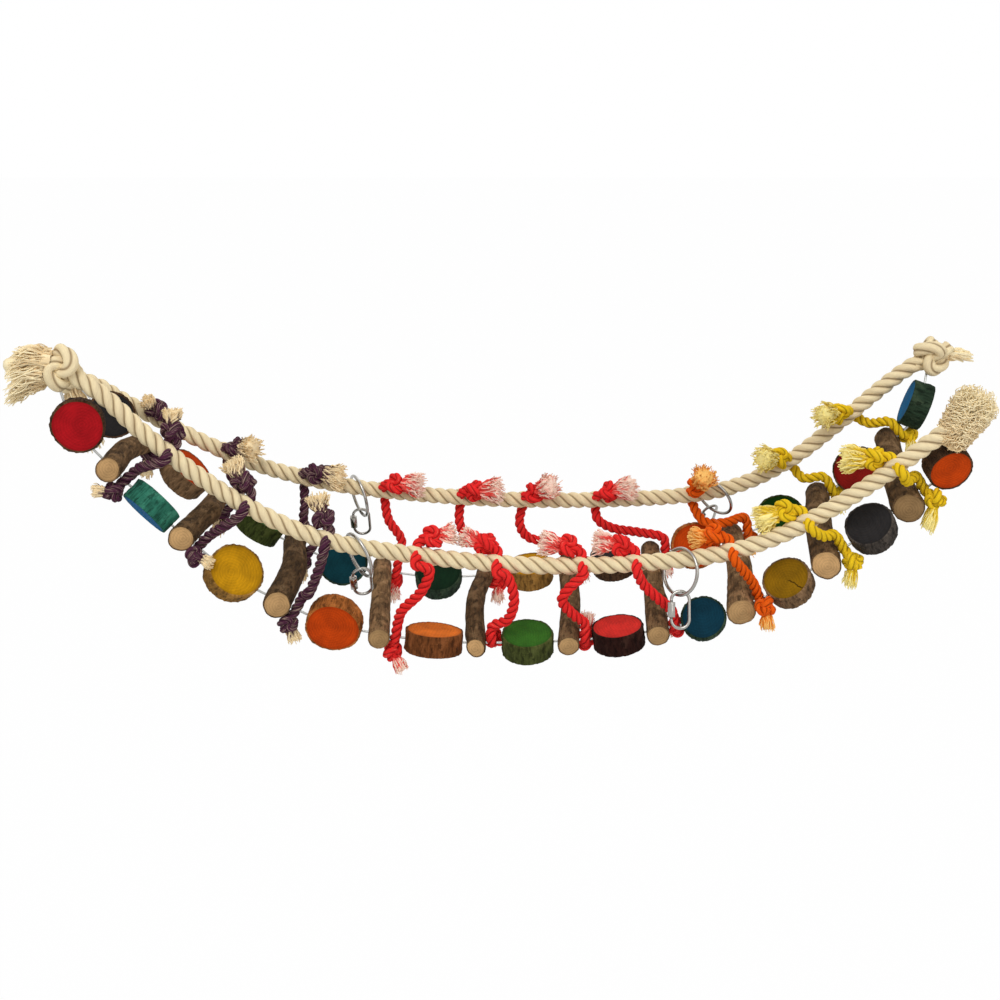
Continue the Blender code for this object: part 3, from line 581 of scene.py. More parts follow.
class Nodes:
    """The node tree of a material or of the world."""

    def __init__(self, owner: bpy.types.Material | bpy.types.World) -> None:
        """Open the owner's node tree."""
        owner.use_nodes = True
        self.owner, self.tree = owner, owner.node_tree

    @classmethod
    def named(cls, name: str) -> Nodes:
        """Make a new material with a plain shader."""
        return cls(bpy.data.materials.new(name))

    def add(self, kind: str, settings: dict[str, Any], inputs: dict[Any, Any], output: Any = 0) -> Value:
        """Add a node, set it up and link it.

        Args:
            kind: The node's type.
            settings: Properties of the node, set first.
            inputs: Values or linked values by the name or number of the socket.
            output: The name or number of the socket to return.

        Returns:
            The chosen output.
        """
        node = self.tree.nodes.new(kind)
        for key, value in settings.items():
            setattr(node, key, value)
        for key, value in inputs.items():
            self.feed(node.inputs[key], value)
        return Value(self, node.outputs[output])

    def feed(self, socket: Any, value: Any) -> None:
        """Link a value to a socket, or set a plain number or colour on it.

        Args:
            socket: The socket of a node.
            value: A linked value, a number, or a colour without its alpha.
        """
        if isinstance(value, Value):
            self.tree.links.new(value.socket, socket)
        elif socket.type == "RGBA":
            socket.default_value = (*value, 1.0)
        else:
            socket.default_value = value

    def dress(self, **inputs: Any) -> bpy.types.Material:
        """Feed the plain shader.

        Args:
            inputs: What goes into its sockets, by their names written with underscores.

        Returns:
            The material.
        """
        shader = self.tree.nodes["Principled BSDF"]
        for key, value in inputs.items():
            self.feed(shader.inputs[key.replace("_", " ")], value)
        return self.owner

    def show(self, unseen: str, seen: Value, share: float, output: str) -> None:
        """Show a second shader to the camera, to reflections and through clear pieces.

        Args:
            unseen: The name of the shader node that all other light meets.
            seen: The shader that is shown.
            share: How far it covers the other one.
            output: The name of the tree's output node.
        """
        rays = self.add("ShaderNodeLightPath", {}, {}, "Is Camera Ray")
        direct = (rays + rays.beside("Is Glossy Ray") + rays.beside("Is Transmission Ray")).step(0.0, 1.0)
        first = Value(self, self.tree.nodes[unseen].outputs[0])
        mixed = self.add("ShaderNodeMixShader", {}, {0: direct * share, 1: first, 2: seen})
        self.feed(self.tree.nodes[output].inputs["Surface"], mixed)

    def uv(self, name: str = UV_NAME) -> Value:
        """Return a piece's own surface coordinates."""
        return self.add("ShaderNodeUVMap", {"uv_map": name}, {})

    def split(self, vector: Value) -> tuple[Value, Value]:
        """Return the first two parts of a vector."""
        first = self.add("ShaderNodeSeparateXYZ", {}, {0: vector})
        return first, first.beside(1)

    def moved(self, vector: Value, scale: tuple, turn: float = 0.0, shift: tuple = (0, 0, 0)) -> Value:
        """Return coordinates turned in degrees, stretched and shifted."""
        inputs = {"Vector": vector, "Location": shift, "Rotation": (0, 0, math.radians(turn)), "Scale": scale}
        return self.add("ShaderNodeMapping", {}, inputs)

    def grain(self, vector: Value, scale: float, detail: float = 3.0, rough: float = 0.55) -> Value:
        """Return soft random grain."""
        inputs = {"Vector": vector, "Scale": scale, "Detail": detail, "Roughness": rough}
        return self.add("ShaderNodeTexNoise", {}, inputs)

    def mix(self, share: Any, first: Any, second: Any) -> Value:
        """Return a colour between two colours."""
        return self.add("ShaderNodeMix", {"data_type": "RGBA"}, {0: share, 6: first, 7: second}, 2)

    def bump(self, height: Value, depth: float, strength: float) -> Value:
        """Return a normal roughened by a height, in metres."""
        inputs = {"Height": height, "Distance": depth, "Strength": strength}
        return self.add("ShaderNodeBump", {}, inputs)


def shade(colour: Colour, factor: float) -> Colour:
    """Return a colour made lighter or darker."""
    return tuple(min(1.0, c * factor) for c in colour)


def blended(first: Colour, second: Colour, share: float) -> Colour:
    """Return a colour part of the way from one to another."""
    return tuple(a + (b - a) * share for a, b in zip(first, second))


@dataclass(frozen=True)
class Cotton:
    """Laid cotton: its colour, the painted shade deep in its grooves, and its undyed flecks with their share.

    Its fibres are stretched and slanted on the strands. The painted shade of a groove starts part way to a strand's
    edge.
    """

    name: str
    colour: Colour
    # The colour of the painted shade deep in the grooves.
    groove: Colour
    fleck: Colour
    flecks: float = 0.0
    fibre_scale: Scale = (34, 4.5, 1)
    fibre_slant: float = 24.0
    fibre_depth: float = 0.0006
    # Where the painted groove shade starts across a strand, and how far it covers the colour.
    groove_shade_start: float = 0.62
    groove_shade_share: float = 0.8

    def make(self) -> bpy.types.Material:
        """Make the material, with fine fibres along the strands and painted shade in the grooves.

        Returns:
            The material.
        """
        nodes = Nodes.named(self.name)
        uv = nodes.uv()
        around, _ = nodes.split(uv)
        # Painted shade: a mask that rises to 1 along the grooves between the strands.
        groove = (1 - abs(around % 1.0 - 0.5) * 2).step(self.groove_shade_start, 1.0)
        fibres = nodes.grain(nodes.moved(uv, self.fibre_scale, self.fibre_slant), 1.0, 4.0, 0.65)
        cloud = nodes.grain(nodes.moved(uv, (1.3, 0.8, 1)), 1.0, 3.0)
        tone = fibres * 0.6 + cloud * 0.4
        colour = nodes.mix(tone.step(0.28, 0.72), shade(self.colour, 0.80), shade(self.colour, 1.12))
        if self.flecks:
            streaks = nodes.grain(nodes.moved(uv, (9, 1.1, 1), 18), 1.0, 2.0)
            threshold = 0.66 - 0.14 * self.flecks
            colour = nodes.mix(streaks.step(threshold, threshold + 0.12) * 0.75, colour, self.fleck)
        # Painted shade: darken the colour towards the groove colour along the grooves.
        colour = nodes.mix(groove * self.groove_shade_share, colour, self.groove)
        normal = nodes.bump(fibres, self.fibre_depth, 0.8)
        return nodes.dress(
            Base_Color=colour, Roughness=COTTON_ROUGHNESS, Specular_IOR_Level=DULL, Normal=normal
        )


@dataclass(frozen=True)
class Yarn:
    """Loose yarn of a tassel: its colour at the root and at the tip, and where along it that changes."""

    name: str
    root: Colour
    tip: Colour
    change: tuple[float, float] = (0.2, 0.8)

    def make(self) -> bpy.types.Material:
        """Make the material, each yarn with a tone of its own.

        Returns:
            The material.
        """
        nodes = Nodes.named(self.name)
        own, along = nodes.split(nodes.uv())
        share = (along + (own - 0.5) * 0.9).step(*self.change)
        bright = nodes.mix(share, self.root, self.tip)
        dull = nodes.mix(share, shade(self.root, 0.80), shade(self.tip, 0.90))
        colour = nodes.mix(own, dull, bright)
        return nodes.dress(Base_Color=colour, Roughness=COTTON_ROUGHNESS, Specular_IOR_Level=DULL)


@dataclass(frozen=True)
class SawnWood:
    """A sawn face: its colour, how strongly its rings and saw marks show, its pith, and any crack."""

    name: str
    colour: Colour
    rings: float = 0.24
    saw: float = 0.12
    pith: tuple[float, float] = (0.0, 0.0)
    turn: float = 0.0
    edge: float = 0.55
    crack: float | None = None
    ring_scale: float = 5.6
    saw_scale: float = 7.0
    pore_scale: float = 70.0
    blotch_scale: float = 2.6
    depth: float = 0.00035

    def make(self) -> bpy.types.Material:
        """Make the material, with rings, saw lines, blotches of dye, a dark edge and any crack.

        Returns:
            The material.
        """
        nodes = Nodes.named(self.name)
        uv = nodes.uv()
        centred = nodes.moved(uv, (1, 1, 0), self.turn, (*self.pith, 0))
        ring_inputs = {
            "Vector": centred, "Scale": self.ring_scale, "Distortion": 5.0, "Detail": 3.0,
            "Detail Scale": 0.7,
        }
        ring_kind = {"wave_type": "RINGS", "rings_direction": "Z", "wave_profile": "SAW"}
        rings = nodes.add("ShaderNodeTexWave", ring_kind, ring_inputs, "Fac")
        lengthwise = nodes.moved(uv, (1, 0.12, 0), self.turn)
        saw_inputs = {"Vector": lengthwise, "Scale": self.saw_scale, "Distortion": 3.0}
        saw = nodes.add("ShaderNodeTexWave", {"wave_type": "BANDS"}, saw_inputs, "Fac")
        pores = nodes.grain(uv, self.pore_scale, 2.0)
        blotch = nodes.grain(nodes.moved(uv, (1, 1, 0), 0, (*self.pith, 0)), self.blotch_scale, 4.0)
        edge_share, _ = nodes.split(nodes.uv(SHARE_NAME))
        tone = rings * (0.55 * self.rings) + saw * (0.45 * self.saw) + pores * 0.25 + blotch * 0.8
        reach = 0.275 * self.rings + 0.225 * self.saw + 0.525
        colour = nodes.mix(
            tone.step(reach - 0.42, reach + 0.42), shade(self.colour, 0.50), shade(self.colour, 1.30)
        )
        colour = nodes.mix(edge_share.step(0.72, 0.98) * self.edge, colour, shade(self.colour, 0.30))
        if self.crack is not None:
            split = nodes.moved(uv, (1, 1, 0), self.crack)
            outwards, across = nodes.split(split)
            gap = 1 - abs(across + (nodes.grain(uv, 9.0) - 0.5) * 0.10).step(0.006, 0.020)
            colour = nodes.mix(gap * outwards.step(0.02, 0.10) * 0.9, colour, shade(self.colour, 0.12))
        height = rings * (0.4 * self.rings) + saw * (0.8 * self.saw) + pores * 0.4
        normal = nodes.bump(height, self.depth, 0.8)
        rough = 0.6 + blotch * 0.2 + pores * 0.1
        return nodes.dress(Base_Color=colour, Roughness=rough, Specular_IOR_Level=DULL, Normal=normal)


@dataclass(frozen=True)
class Bark:
    """Bark left on a branch: its colour, and how far pale patches and flecks show on it."""

    name: str
    colour: Colour
    pale: float = 0.6
    streak_scale: Scale = (22, 3.2, 1)
    scar_scale: Scale = (2.5, 26, 1)
    patch_scale: Scale = (3.2, 2.2, 1)
    stain_scale: Scale = (7.0, 2.6, 1)
    stain_shift: Scale = (7, 3, 0)
    depth: float = 0.0026

    def make(self) -> bpy.types.Material:
        """Make the material, with long streaks, scars across and pale patches.

        Returns:
            The material.
        """
        nodes = Nodes.named(self.name)
        uv = nodes.uv()
        pale = blended(shade(self.colour, 2.4), (0.36, 0.26, 0.16), 0.3 * self.pale)
        streaks = nodes.grain(nodes.moved(uv, self.streak_scale), 1.0, 5.0, 0.65)
        scars = nodes.grain(nodes.moved(uv, self.scar_scale), 1.0, 3.0, 0.6)
        patch = nodes.grain(nodes.moved(uv, self.patch_scale), 1.0, 4.0)
        stain = nodes.grain(nodes.moved(uv, self.stain_scale, 0, self.stain_shift), 1.0, 5.0, 0.7)
        mottle = (streaks * 0.6 + patch * 0.6).step(0.40, 0.74)
        colour = nodes.mix(mottle, shade(self.colour, 0.42), shade(self.colour, 1.50))
        colour = nodes.mix(patch.step(0.51, 0.66) * self.pale, colour, pale)
        colour = nodes.mix(stain.step(0.50, 0.62) * 0.75, colour, shade(self.colour, 0.26))
        colour = nodes.mix(scars.step(0.60, 0.72) * 0.6, colour, shade(self.colour, 0.28))
        normal = nodes.bump(streaks * 0.6 + scars * 0.3 - stain * 0.5, self.depth, 1.0)
        rough = 0.66 + patch * 0.32
        return nodes.dress(Base_Color=colour, Roughness=rough, Specular_IOR_Level=DULL, Normal=normal)


@dataclass(frozen=True)
class Steel:
    """Plated or plain steel: its colour and roughness."""

    name: str
    colour: Colour
    roughness: float
    wear_scale: float = 420.0
    scratch_scale: float = 1500.0
    scratch_depth: float = 0.0001

    def make(self) -> bpy.types.Material:
        """Make the material, with faint wear in its gloss.

        Returns:
            The material.
        """
        nodes = Nodes.named(self.name)
        place = nodes.add("ShaderNodeTexCoord", {}, {}, "Object")
        wear = nodes.grain(place, self.wear_scale, 3.0)
        colour = nodes.mix(wear, shade(self.colour, 0.82), shade(self.colour, 1.1))
        normal = nodes.bump(nodes.grain(place, self.scratch_scale, 2.0), self.scratch_depth, 0.4)
        rough = self.roughness - 0.08 + wear * 0.16
        return nodes.dress(Base_Color=colour, Metallic=1.0, Roughness=rough, Normal=normal)


class Route:
    """A smooth line through chosen points, with places on it given by their distance along it."""

    SAMPLES = 24

    def __init__(self, points: Sequence[Vector]) -> None:
        """Sample a Catmull-Rom curve.

        Args:
            points: The points that it passes.
        """
        ends = [2 * points[0] - points[1], *points, 2 * points[-1] - points[-2]]
        self.samples = [points[0]]
        for a, b, c, d in zip(ends, ends[1:], ends[2:], ends[3:]):
            for step in range(1, self.SAMPLES + 1):
                t = step / self.SAMPLES
                bend = (2 * a - 5 * b + 4 * c - d) * t**2
                twist = (3 * b - a - 3 * c + d) * t**3
                self.samples.append(0.5 * (2 * b + (c - a) * t + bend + twist))
        self.stations = [0.0]
        for a, b in zip(self.samples, self.samples[1:]):
            self.stations.append(self.stations[-1] + (b - a).length)
        self.length = self.stations[-1]

    def at(self, station: float) -> Vector:
        """Find a point on the line, which is carried straight on past its ends.

        Args:
            station: The distance along the line.

        Returns:
            The point.
        """
        index = min(max(bisect_right(self.stations, station) - 1, 0), len(self.stations) - 2)
        start, end = self.stations[index], self.stations[index + 1]
        return self.samples[index].lerp(self.samples[index + 1], (station - start) / (end - start))

    def tangent(self, station: float) -> Vector:
        """Return the unit direction of the line at a distance along it."""
        reach = self.length / len(self.samples)
        return (self.at(station + reach) - self.at(station - reach)).normalized()

    def station_at_x(self, x: float) -> float:
        """Find where the line first passes an X value.

        Args:
            x: The X value.

        Returns:
            The distance along the line.

        Raises:
            ValueError: The line never passes it.
        """
        for a, b, s, t in zip(self.samples, self.samples[1:], self.stations, self.stations[1:]):
            if a.x <= x <= b.x:
                return s + (t - s) * (x - a.x) / (b.x - a.x)
        raise ValueError(f"the line never passes x = {x}")

    def spaced(self, step: float) -> list[Vector]:
        """Return points along the whole line, evenly spaced and about one step apart."""
        count = max(1, round(self.length / step))
        return [self.at(self.length * i / count) for i in range(count + 1)]


def upright(direction: Vector) -> Vector:
    """Return the unit vector square to a direction that points most nearly up."""
    return (UP - UP.dot(direction) * direction).normalized()


def axes(x_axis: Vector, z_axis: Vector, origin: Vector) -> Matrix:
    """Return the matrix of a frame with the given X and Z axes."""
    y_axis = z_axis.cross(x_axis)
    return Matrix.Translation(origin) @ Matrix((x_axis, y_axis, z_axis)).transposed().to_4x4()


def carried(points: Sequence[Vector]) -> list[tuple[Vector, Vector]]:
    """Carry a pair of cross directions along a line without twisting them.

    Args:
        points: The line.

    Returns:
        The two cross directions at each point, right-handed with the way along the line.
    """
    last = len(points) - 1
    tangents = [(points[min(i + 1, last)] - points[max(i - 1, 0)]).normalized() for i in range(last + 1)]
    side = tangents[0].orthogonal().normalized()
    before = tangents[0]
    pairs = []
    for tangent in tangents:
        side = before.rotation_difference(tangent) @ side
        side = (side - side.dot(tangent) * tangent).normalized()
        pairs.append((side, tangent.cross(side)))
        before = tangent
    return pairs


def sweep(
    shape: BMesh,
    points: Sequence[Vector],
    around: int,
    section: Callable[[int, float], tuple[float, float]],
    mapped: Callable[[float, float], tuple[float, float]] = lambda share, at: (share, at),
) -> list[BMVert]:
    """Wrap a grid round a line.

    Args:
        shape: The mesh that gets the tube.
        points: The line, one ring at each point.
        around: How many faces go round it.
        section: Gives the angle and radius at a ring's number and a share of the way round.
        mapped: Gives the surface coordinates at the shares of the way round and along.

    Returns:
        The vertices of the tube, which is open at its ends.
    """
    layer = shape.loops.layers.uv.get(UV_NAME) or shape.loops.layers.uv.new(UV_NAME)
    pairs = carried(points)
    rings = len(points) - 1
    made = bmesh.ops.create_grid(shape, x_segments=around, y_segments=rings, size=1.0)["verts"]
    for face in {face for vert in made for face in vert.link_faces}:
        for loop in face.loops:
            x, y, _ = loop.vert.co
            loop[layer].uv = mapped((x + 1) / 2, (y + 1) / 2)
    for vert in made:
        ring = round((vert.co.y + 1) / 2 * rings)
        angle, radius = section(ring, (vert.co.x + 1) / 2)
        side, up = pairs[ring]
        vert.co = points[ring] + (side * math.cos(angle) + up * math.sin(angle)) * radius
    bmesh.ops.remove_doubles(shape, verts=made, dist=SEAM)
    return [vert for vert in made if vert.is_valid]


def close_ends(shape: BMesh) -> list[BMFace]:
    """Fill the open ends of a tube and return the new faces."""
    edges = [edge for edge in shape.edges if edge.is_boundary]
    return bmesh.ops.holes_fill(shape, edges=edges, sides=0)["faces"]


def add_object(name: str, data: Any) -> bpy.types.Object:
    """Put a mesh, a lamp or a camera into the scene.

    Args:
        name: The object's name.
        data: What it shows.

    Returns:
        The object.
    """
    made = bpy.data.objects.new(name, data)
    bpy.context.scene.collection.objects.link(made)
    return made


def add_piece(
    name: str,
    shape: BMesh,
    materials: Sequence[bpy.types.Material],
    slot: str,
    body: str = LADDER_BODY,
    replaced: Sequence[str] = (),
    sharp: float = 50.0,
) -> bpy.types.Object:
    """Turn a finished shape into a piece that rides on a body.

    Args:
        name: The piece's name.
        shape: The mesh, which is freed.
        materials: Its materials, in the order of their numbers.
        slot: The record's material slot.
        body: The body it moves with.
        replaced: The nodes of the solid model that it stands for.
        sharp: The angle in degrees past which an edge is shaded sharp.

    Returns:
        The piece.
    """
    mesh = bpy.data.meshes.new(name)
    shape.to_mesh(mesh)
    shape.free()
    for material in materials:
        mesh.materials.append(material)
    mesh.shade_smooth()
    mesh.set_sharp_from_angle(angle=math.radians(sharp))
    piece = add_object(name, mesh)
    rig.ride(piece, body)
    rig.slot(piece, slot)
    if replaced:
        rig.replaces(piece, *replaced)
    LOG.info("%s: %d faces", name, len(mesh.polygons))
    return piece


@dataclass(frozen=True)
class Lay:
    """A three-strand rope: its diameter, the length of one turn, and how finely it is made."""

    diameter: float
    turn: float
    around: int
    step: float
    core: float = 0.41

    def radius(self, share: float) -> float:
        """Give the section, which is deepest between two strands.

        Args:
            share: The share of the way round.

        Returns:
            The radius there.
        """
        angle = ((share * STRANDS + 0.5) % 1 - 0.5) * math.tau / STRANDS
        core = self.diameter / 2 * self.core
        strand = self.diameter / 2 - core
        return core * math.cos(angle) + math.sqrt(strand**2 - (core * math.sin(angle)) ** 2)

    def along(
        self,
        shape: BMesh,
        points: Sequence[Vector],
        phase: Callable[[float], float] = lambda share: 0.0,
    ) -> list[BMVert]:
        """Lay the rope along a line.

        Args:
            shape: The mesh that gets the rope.
            points: The line, evenly spaced.
            phase: Extra twist in radians at a share of the way along.

        Returns:
            The vertices of the rope.
        """
        length = sum((b - a).length for a, b in zip(points, points[1:]))
        rings = len(points) - 1

        def section(ring: int, share: float) -> tuple[float, float]:
            """Return the angle and radius at a ring and a share of the way round."""
            at = ring / rings
            return math.tau * share + math.tau * at * length / self.turn + phase(at), self.radius(share)

        def mapped(share: float, at: float) -> tuple[float, float]:
            """Return the surface coordinates, of which the first counts the strands."""
            return STRANDS * share, at * length / self.diameter

        return sweep(shape, points, self.around, section, mapped)


ROPE = Lay(diameter=0.0180, turn=0.040, around=36, step=0.0016)
CORD = Lay(diameter=0.0112, turn=0.024, around=24, step=0.0014)


def overhand(middle: Vector, axis: Vector, spin: float, unit: float, squash: float) -> Route:
    """Return the line of an overhand knot whose two ends leave along its axis.

    Args:
        middle: The knot's middle.
        axis: The way that the line comes in.
        spin: Its turn about the axis, in degrees.
        unit: The radius of the rope in it.
        squash: Its height along the axis, 1 for a round rope.

    Returns:
        The line.
    """
    turned = axis.to_track_quat("Z", "Y").to_matrix() @ Matrix.Rotation(math.radians(spin), 3, "Z")
    local = [Vector(p) for p in KNOT_ENTRY]
    for step in range(1, KNOT_STEPS):
        t = math.tau * (KNOT_MOUTH + (1 - 2 * KNOT_MOUTH) * step / KNOT_STEPS)
        x = math.sin(t) + 2 * math.sin(2 * t)
        y = math.cos(t) - 2 * math.cos(2 * t)
        local.append(Vector((x, y, -KNOT_RISE * math.sin(3 * t))))
    local += [Vector((-x, y, -z)) for x, y, z in reversed(KNOT_ENTRY)]
    stretch = Vector((KNOT_WIDTH, KNOT_WIDTH, squash))
    return Route([middle + turned @ (Vector(a * b for a, b in zip(p, stretch)) * unit) for p in local])


@dataclass(frozen=True)
class Tuft:
    """A tassel: where it starts, its way, and how it lies.

    Its body fills a share of the spread, and is domed from another share of its length on.
    """

    origin: Vector
    way: Vector
    brush: Brush
    dome: float = 0.68
    fill: float = 0.82
    rings: int = 14
    around: int = 40

    @classmethod
    def past(cls, knot: Vector, way: Vector, brush: Brush) -> Tuft:
        """Return a tassel that starts past the middle of a knot."""
        return cls(knot + way * brush.start, way, brush)

    def axis(self, share: float) -> Vector:
        """Return the point on the tassel's middle line at a share of its length."""
        return self.origin + (self.way * share - UP * self.brush.droop * share**2) * self.brush.length

    def spread(self, share: float) -> float:
        """Return how far out the outermost yarns lie at a share of the length."""
        return self.brush.root + (self.brush.tip - self.brush.root) * share

    def comb(self, shape: BMesh, seed: str) -> None:
        """Add the soft body of the tassel, and the yarns combed over it.

        Args:
            shape: The mesh that gets them.
            seed: Picks their lumps, places and tones.
        """
        rng = random.Random(seed)
        self.body(shape, rng)
        for _ in range(self.brush.yarns):
            self.yarn(shape, rng)

    def body(self, shape: BMesh, rng: random.Random) -> None:
        """Add the lumpy body, domed at its tip.

        Args:
            shape: The mesh that gets it.
            rng: Gives its lumps and the tones of its strands.
        """
        rings, around = self.rings, self.around
        tones = [rng.random() for _ in range(around + 1)]
        ridges = [rng.uniform(0.86, 1.0) for _ in range(around)]
        seed = rng.uniform(0, 50)

        def section(ring: int, share: float) -> tuple[float, float]:
            """Shape the body.

            Args:
                ring: The number of the ring along it.
                share: The share of the way round.

            Returns:
                The angle and the radius.
            """
            at, angle = ring / rings, math.tau * share
            lump = noise.noise(Vector((1.6 * math.cos(angle), 1.6 * math.sin(angle), 2 * at + seed)))
            over = max(0.0, at - self.dome) / (1 - self.dome)
            ridge = ridges[round(share * around) % around]
            uneven = ridge * (self.fill + self.brush.lump * lump)
            return angle, self.spread(at) * math.sqrt(1 - over**2) * uneven

        points = [self.axis(ring / rings) for ring in range(rings + 1)]
        sweep(shape, points, around, section, lambda share, at: (tones[round(share * around)], at))

    def yarn(self, shape: BMesh, rng: random.Random) -> None:
        """Add one yarn, which fans out from the root and curls as it goes.

        Args:
            shape: The mesh that gets it.
            rng: Gives its place, length, curl and tone.
        """
        brush = self.brush
        side = self.way.orthogonal().normalized()
        spin = rng.uniform(0, math.tau)
        reach = rng.random() ** 0.35
        off = side * math.cos(spin) + self.way.cross(side) * math.sin(spin)
        first = rng.uniform(0.0, 0.4)
        last = self.dome + (1 - self.dome) * math.sqrt(1 - reach**2) + rng.uniform(-0.10, 0.20)
        swing = Vector((rng.gauss(0, 1), rng.gauss(0, 1), rng.gauss(0, 1))).normalized()
        other = self.way.cross(swing)
        phase = rng.uniform(0, math.tau)
        width = brush.curl * rng.uniform(0.4, 1.6)
        winding = math.tau * brush.turns * rng.uniform(0.6, 1.4)
        rings = 4 + round(5 * brush.turns)
        points = []
        for k in range(rings + 1):
            share = first + (last - first) * k / rings
            angle = phase + winding * k / rings
            curl = (swing * math.cos(angle) + other * math.sin(angle)) * width
            points.append(self.axis(share) + off * self.spread(share) * reach + curl)
        tone = rng.random()
        radius = brush.thickness * rng.uniform(0.8, 1.2)
        sweep(
            shape, points, 4, lambda ring, share: (math.tau * share, radius * (1 - 0.4 * ring / rings)),
            lambda share, at: (tone, first + (last - first) * at),
        )


class Threading:
    """The beads of one side, spaced along its wire outwards from the middle rung."""

    def __init__(self, side: Side) -> None:
        """Work out the wire's corners, and the middle and direction of each bead's hole.

        Args:
            side: The side of the ladder.
        """
        route = Route([side.place(p) for p in side.wire_points])
        rung_radii = [(r.front_diameter if side.sign == FRONT else r.back_diameter) / 2 for r in RUNGS]
        slice_radii = [s.diameter / 2 for s in side.slices]
        bays = []
        for i in range(len(RUNGS) - 1):
            filled = rung_radii[i] + rung_radii[i + 1] + CORD_DIAMETER + 2 * slice_radii[i + 1]
            bays.append(filled + 3 * BEAD_GAP + side.slack[i + 1])
        rungs = [route.station_at_x(side.middle_rung_x)] * len(RUNGS)
        for i in range(MIDDLE_RUNG, len(RUNGS) - 1):
            rungs[i + 1] = rungs[i] + bays[i]
        for i in range(MIDDLE_RUNG, 0, -1):
            rungs[i - 1] = rungs[i] - bays[i - 1]
        cords = [s + r + BEAD_GAP + CORD_DIAMETER / 2 for s, r in zip(rungs, rung_radii)]
        slices = [rungs[0] - rung_radii[0] - BEAD_GAP - slice_radii[0] - side.slack[0]]
        for at, radius, slack in zip(cords, slice_radii[1:], side.slack[1:]):
            slices.append(at + CORD_DIAMETER / 2 + BEAD_GAP + radius + slack / 2)
        self.corners = [0.0]
        for station, radius in zip(slices, slice_radii):
            self.corners += [station - radius - BEAD_GAP / 2, station + radius + BEAD_GAP / 2]
        self.corners.append(route.length)
        self.points = [route.at(s) for s in self.corners]
        beads = (rungs, cords, slices)
        self.rungs, self.cords, self.slices = ([self.on_wire(s) for s in kind] for kind in beads)

    def on_wire(self, station: float) -> tuple[Vector, Vector]:
        """Find a place on the wire.

        Args:
            station: The distance along it.

        Returns:
            The point and the wire's direction there.
        """
        index = max(i for i, s in enumerate(self.corners[:-1]) if s <= station)
        start, end = self.points[index], self.points[index + 1]
        share = (station - self.corners[index]) / (self.corners[index + 1] - self.corners[index])
        return start.lerp(end, share), (end - start).normalized()


@dataclass
class Finishes:
    """Every material of the ladder."""

    rope: bpy.types.Material
    rope_yarn: bpy.types.Material
    wire: bpy.types.Material
    plated: bpy.types.Material
    cords: dict[Dye, bpy.types.Material]
    yarns: dict[Dye, bpy.types.Material]

    @classmethod
    def make(cls) -> Finishes:
        """Make the materials that several pieces share.

        Returns:
            The materials.
        """
        tips = {
            Dye.CORD_PURPLE: ((0.12, 0.05, 0.06), (0.96, 0.77, 0.47), (0.10, 0.45)),
            Dye.CORD_RED: ((1.0, 0.10, 0.08), (1.0, 0.76, 0.62), (0.25, 0.85)),
            Dye.CORD_ORANGE: ((1.0, 0.27, 0.022), (1.0, 0.58, 0.17), (0.2, 0.9)),
            Dye.CORD_YELLOW: ((0.95, 0.66, 0.04), (1.0, 0.86, 0.34), (0.2, 0.7)),
        }
        cords = {}
        yarns = {}
        for dye, (root, tip, change) in tips.items():
            label = dye.name.lower().replace("cord_", "")
            flecks = 1.0 if dye is Dye.CORD_PURPLE else 0.25
            # The second colour is each cord's painted shade in its grooves.
            cords[dye] = Cotton(
                f"{label}_cord", dye.value, shade(dye.value, 0.28), blended(dye.value, CREAM, 0.5), flecks
            ).make()
            yarns[dye] = Yarn(f"{label}_yarn", root, tip, change).make()
        return cls(
            # The rope's second colour is its painted shade in the grooves.
            rope=Cotton("cotton_rope", (0.96, 0.76, 0.47), (0.27, 0.170, 0.082), CREAM).make(),
            rope_yarn=Yarn("cotton_yarn", (0.92, 0.71, 0.41), (1.0, 0.86, 0.56)).make(),
            wire=Steel("drawn_wire", (0.46, 0.46, 0.44), 0.38).make(),
            plated=Steel("nickel_plate", (0.38, 0.365, 0.335), 0.20).make(),
            cords=cords,
            yarns=yarns,
        )


@dataclass
class Piercing:
    """A place where a cord goes through a rope, with the ways along the rope and down through it."""

    centre: Vector
    tangent: Vector
    down: Vector
    station: float

    @classmethod
    def of(cls, rope: Route, x: float, side: Side) -> Piercing:
        """Find the place on a rope.

        Args:
            rope: The rope's line.
            x: The X of the place.
            side: The side whose rope it is.

        Returns:
            The place.
        """
        station = rope.station_at_x(x)
        tangent = rope.tangent(station)
        down = (side.outwards() * side.lean - upright(tangent)).normalized()
        return cls(rope.at(station), tangent, down, station)


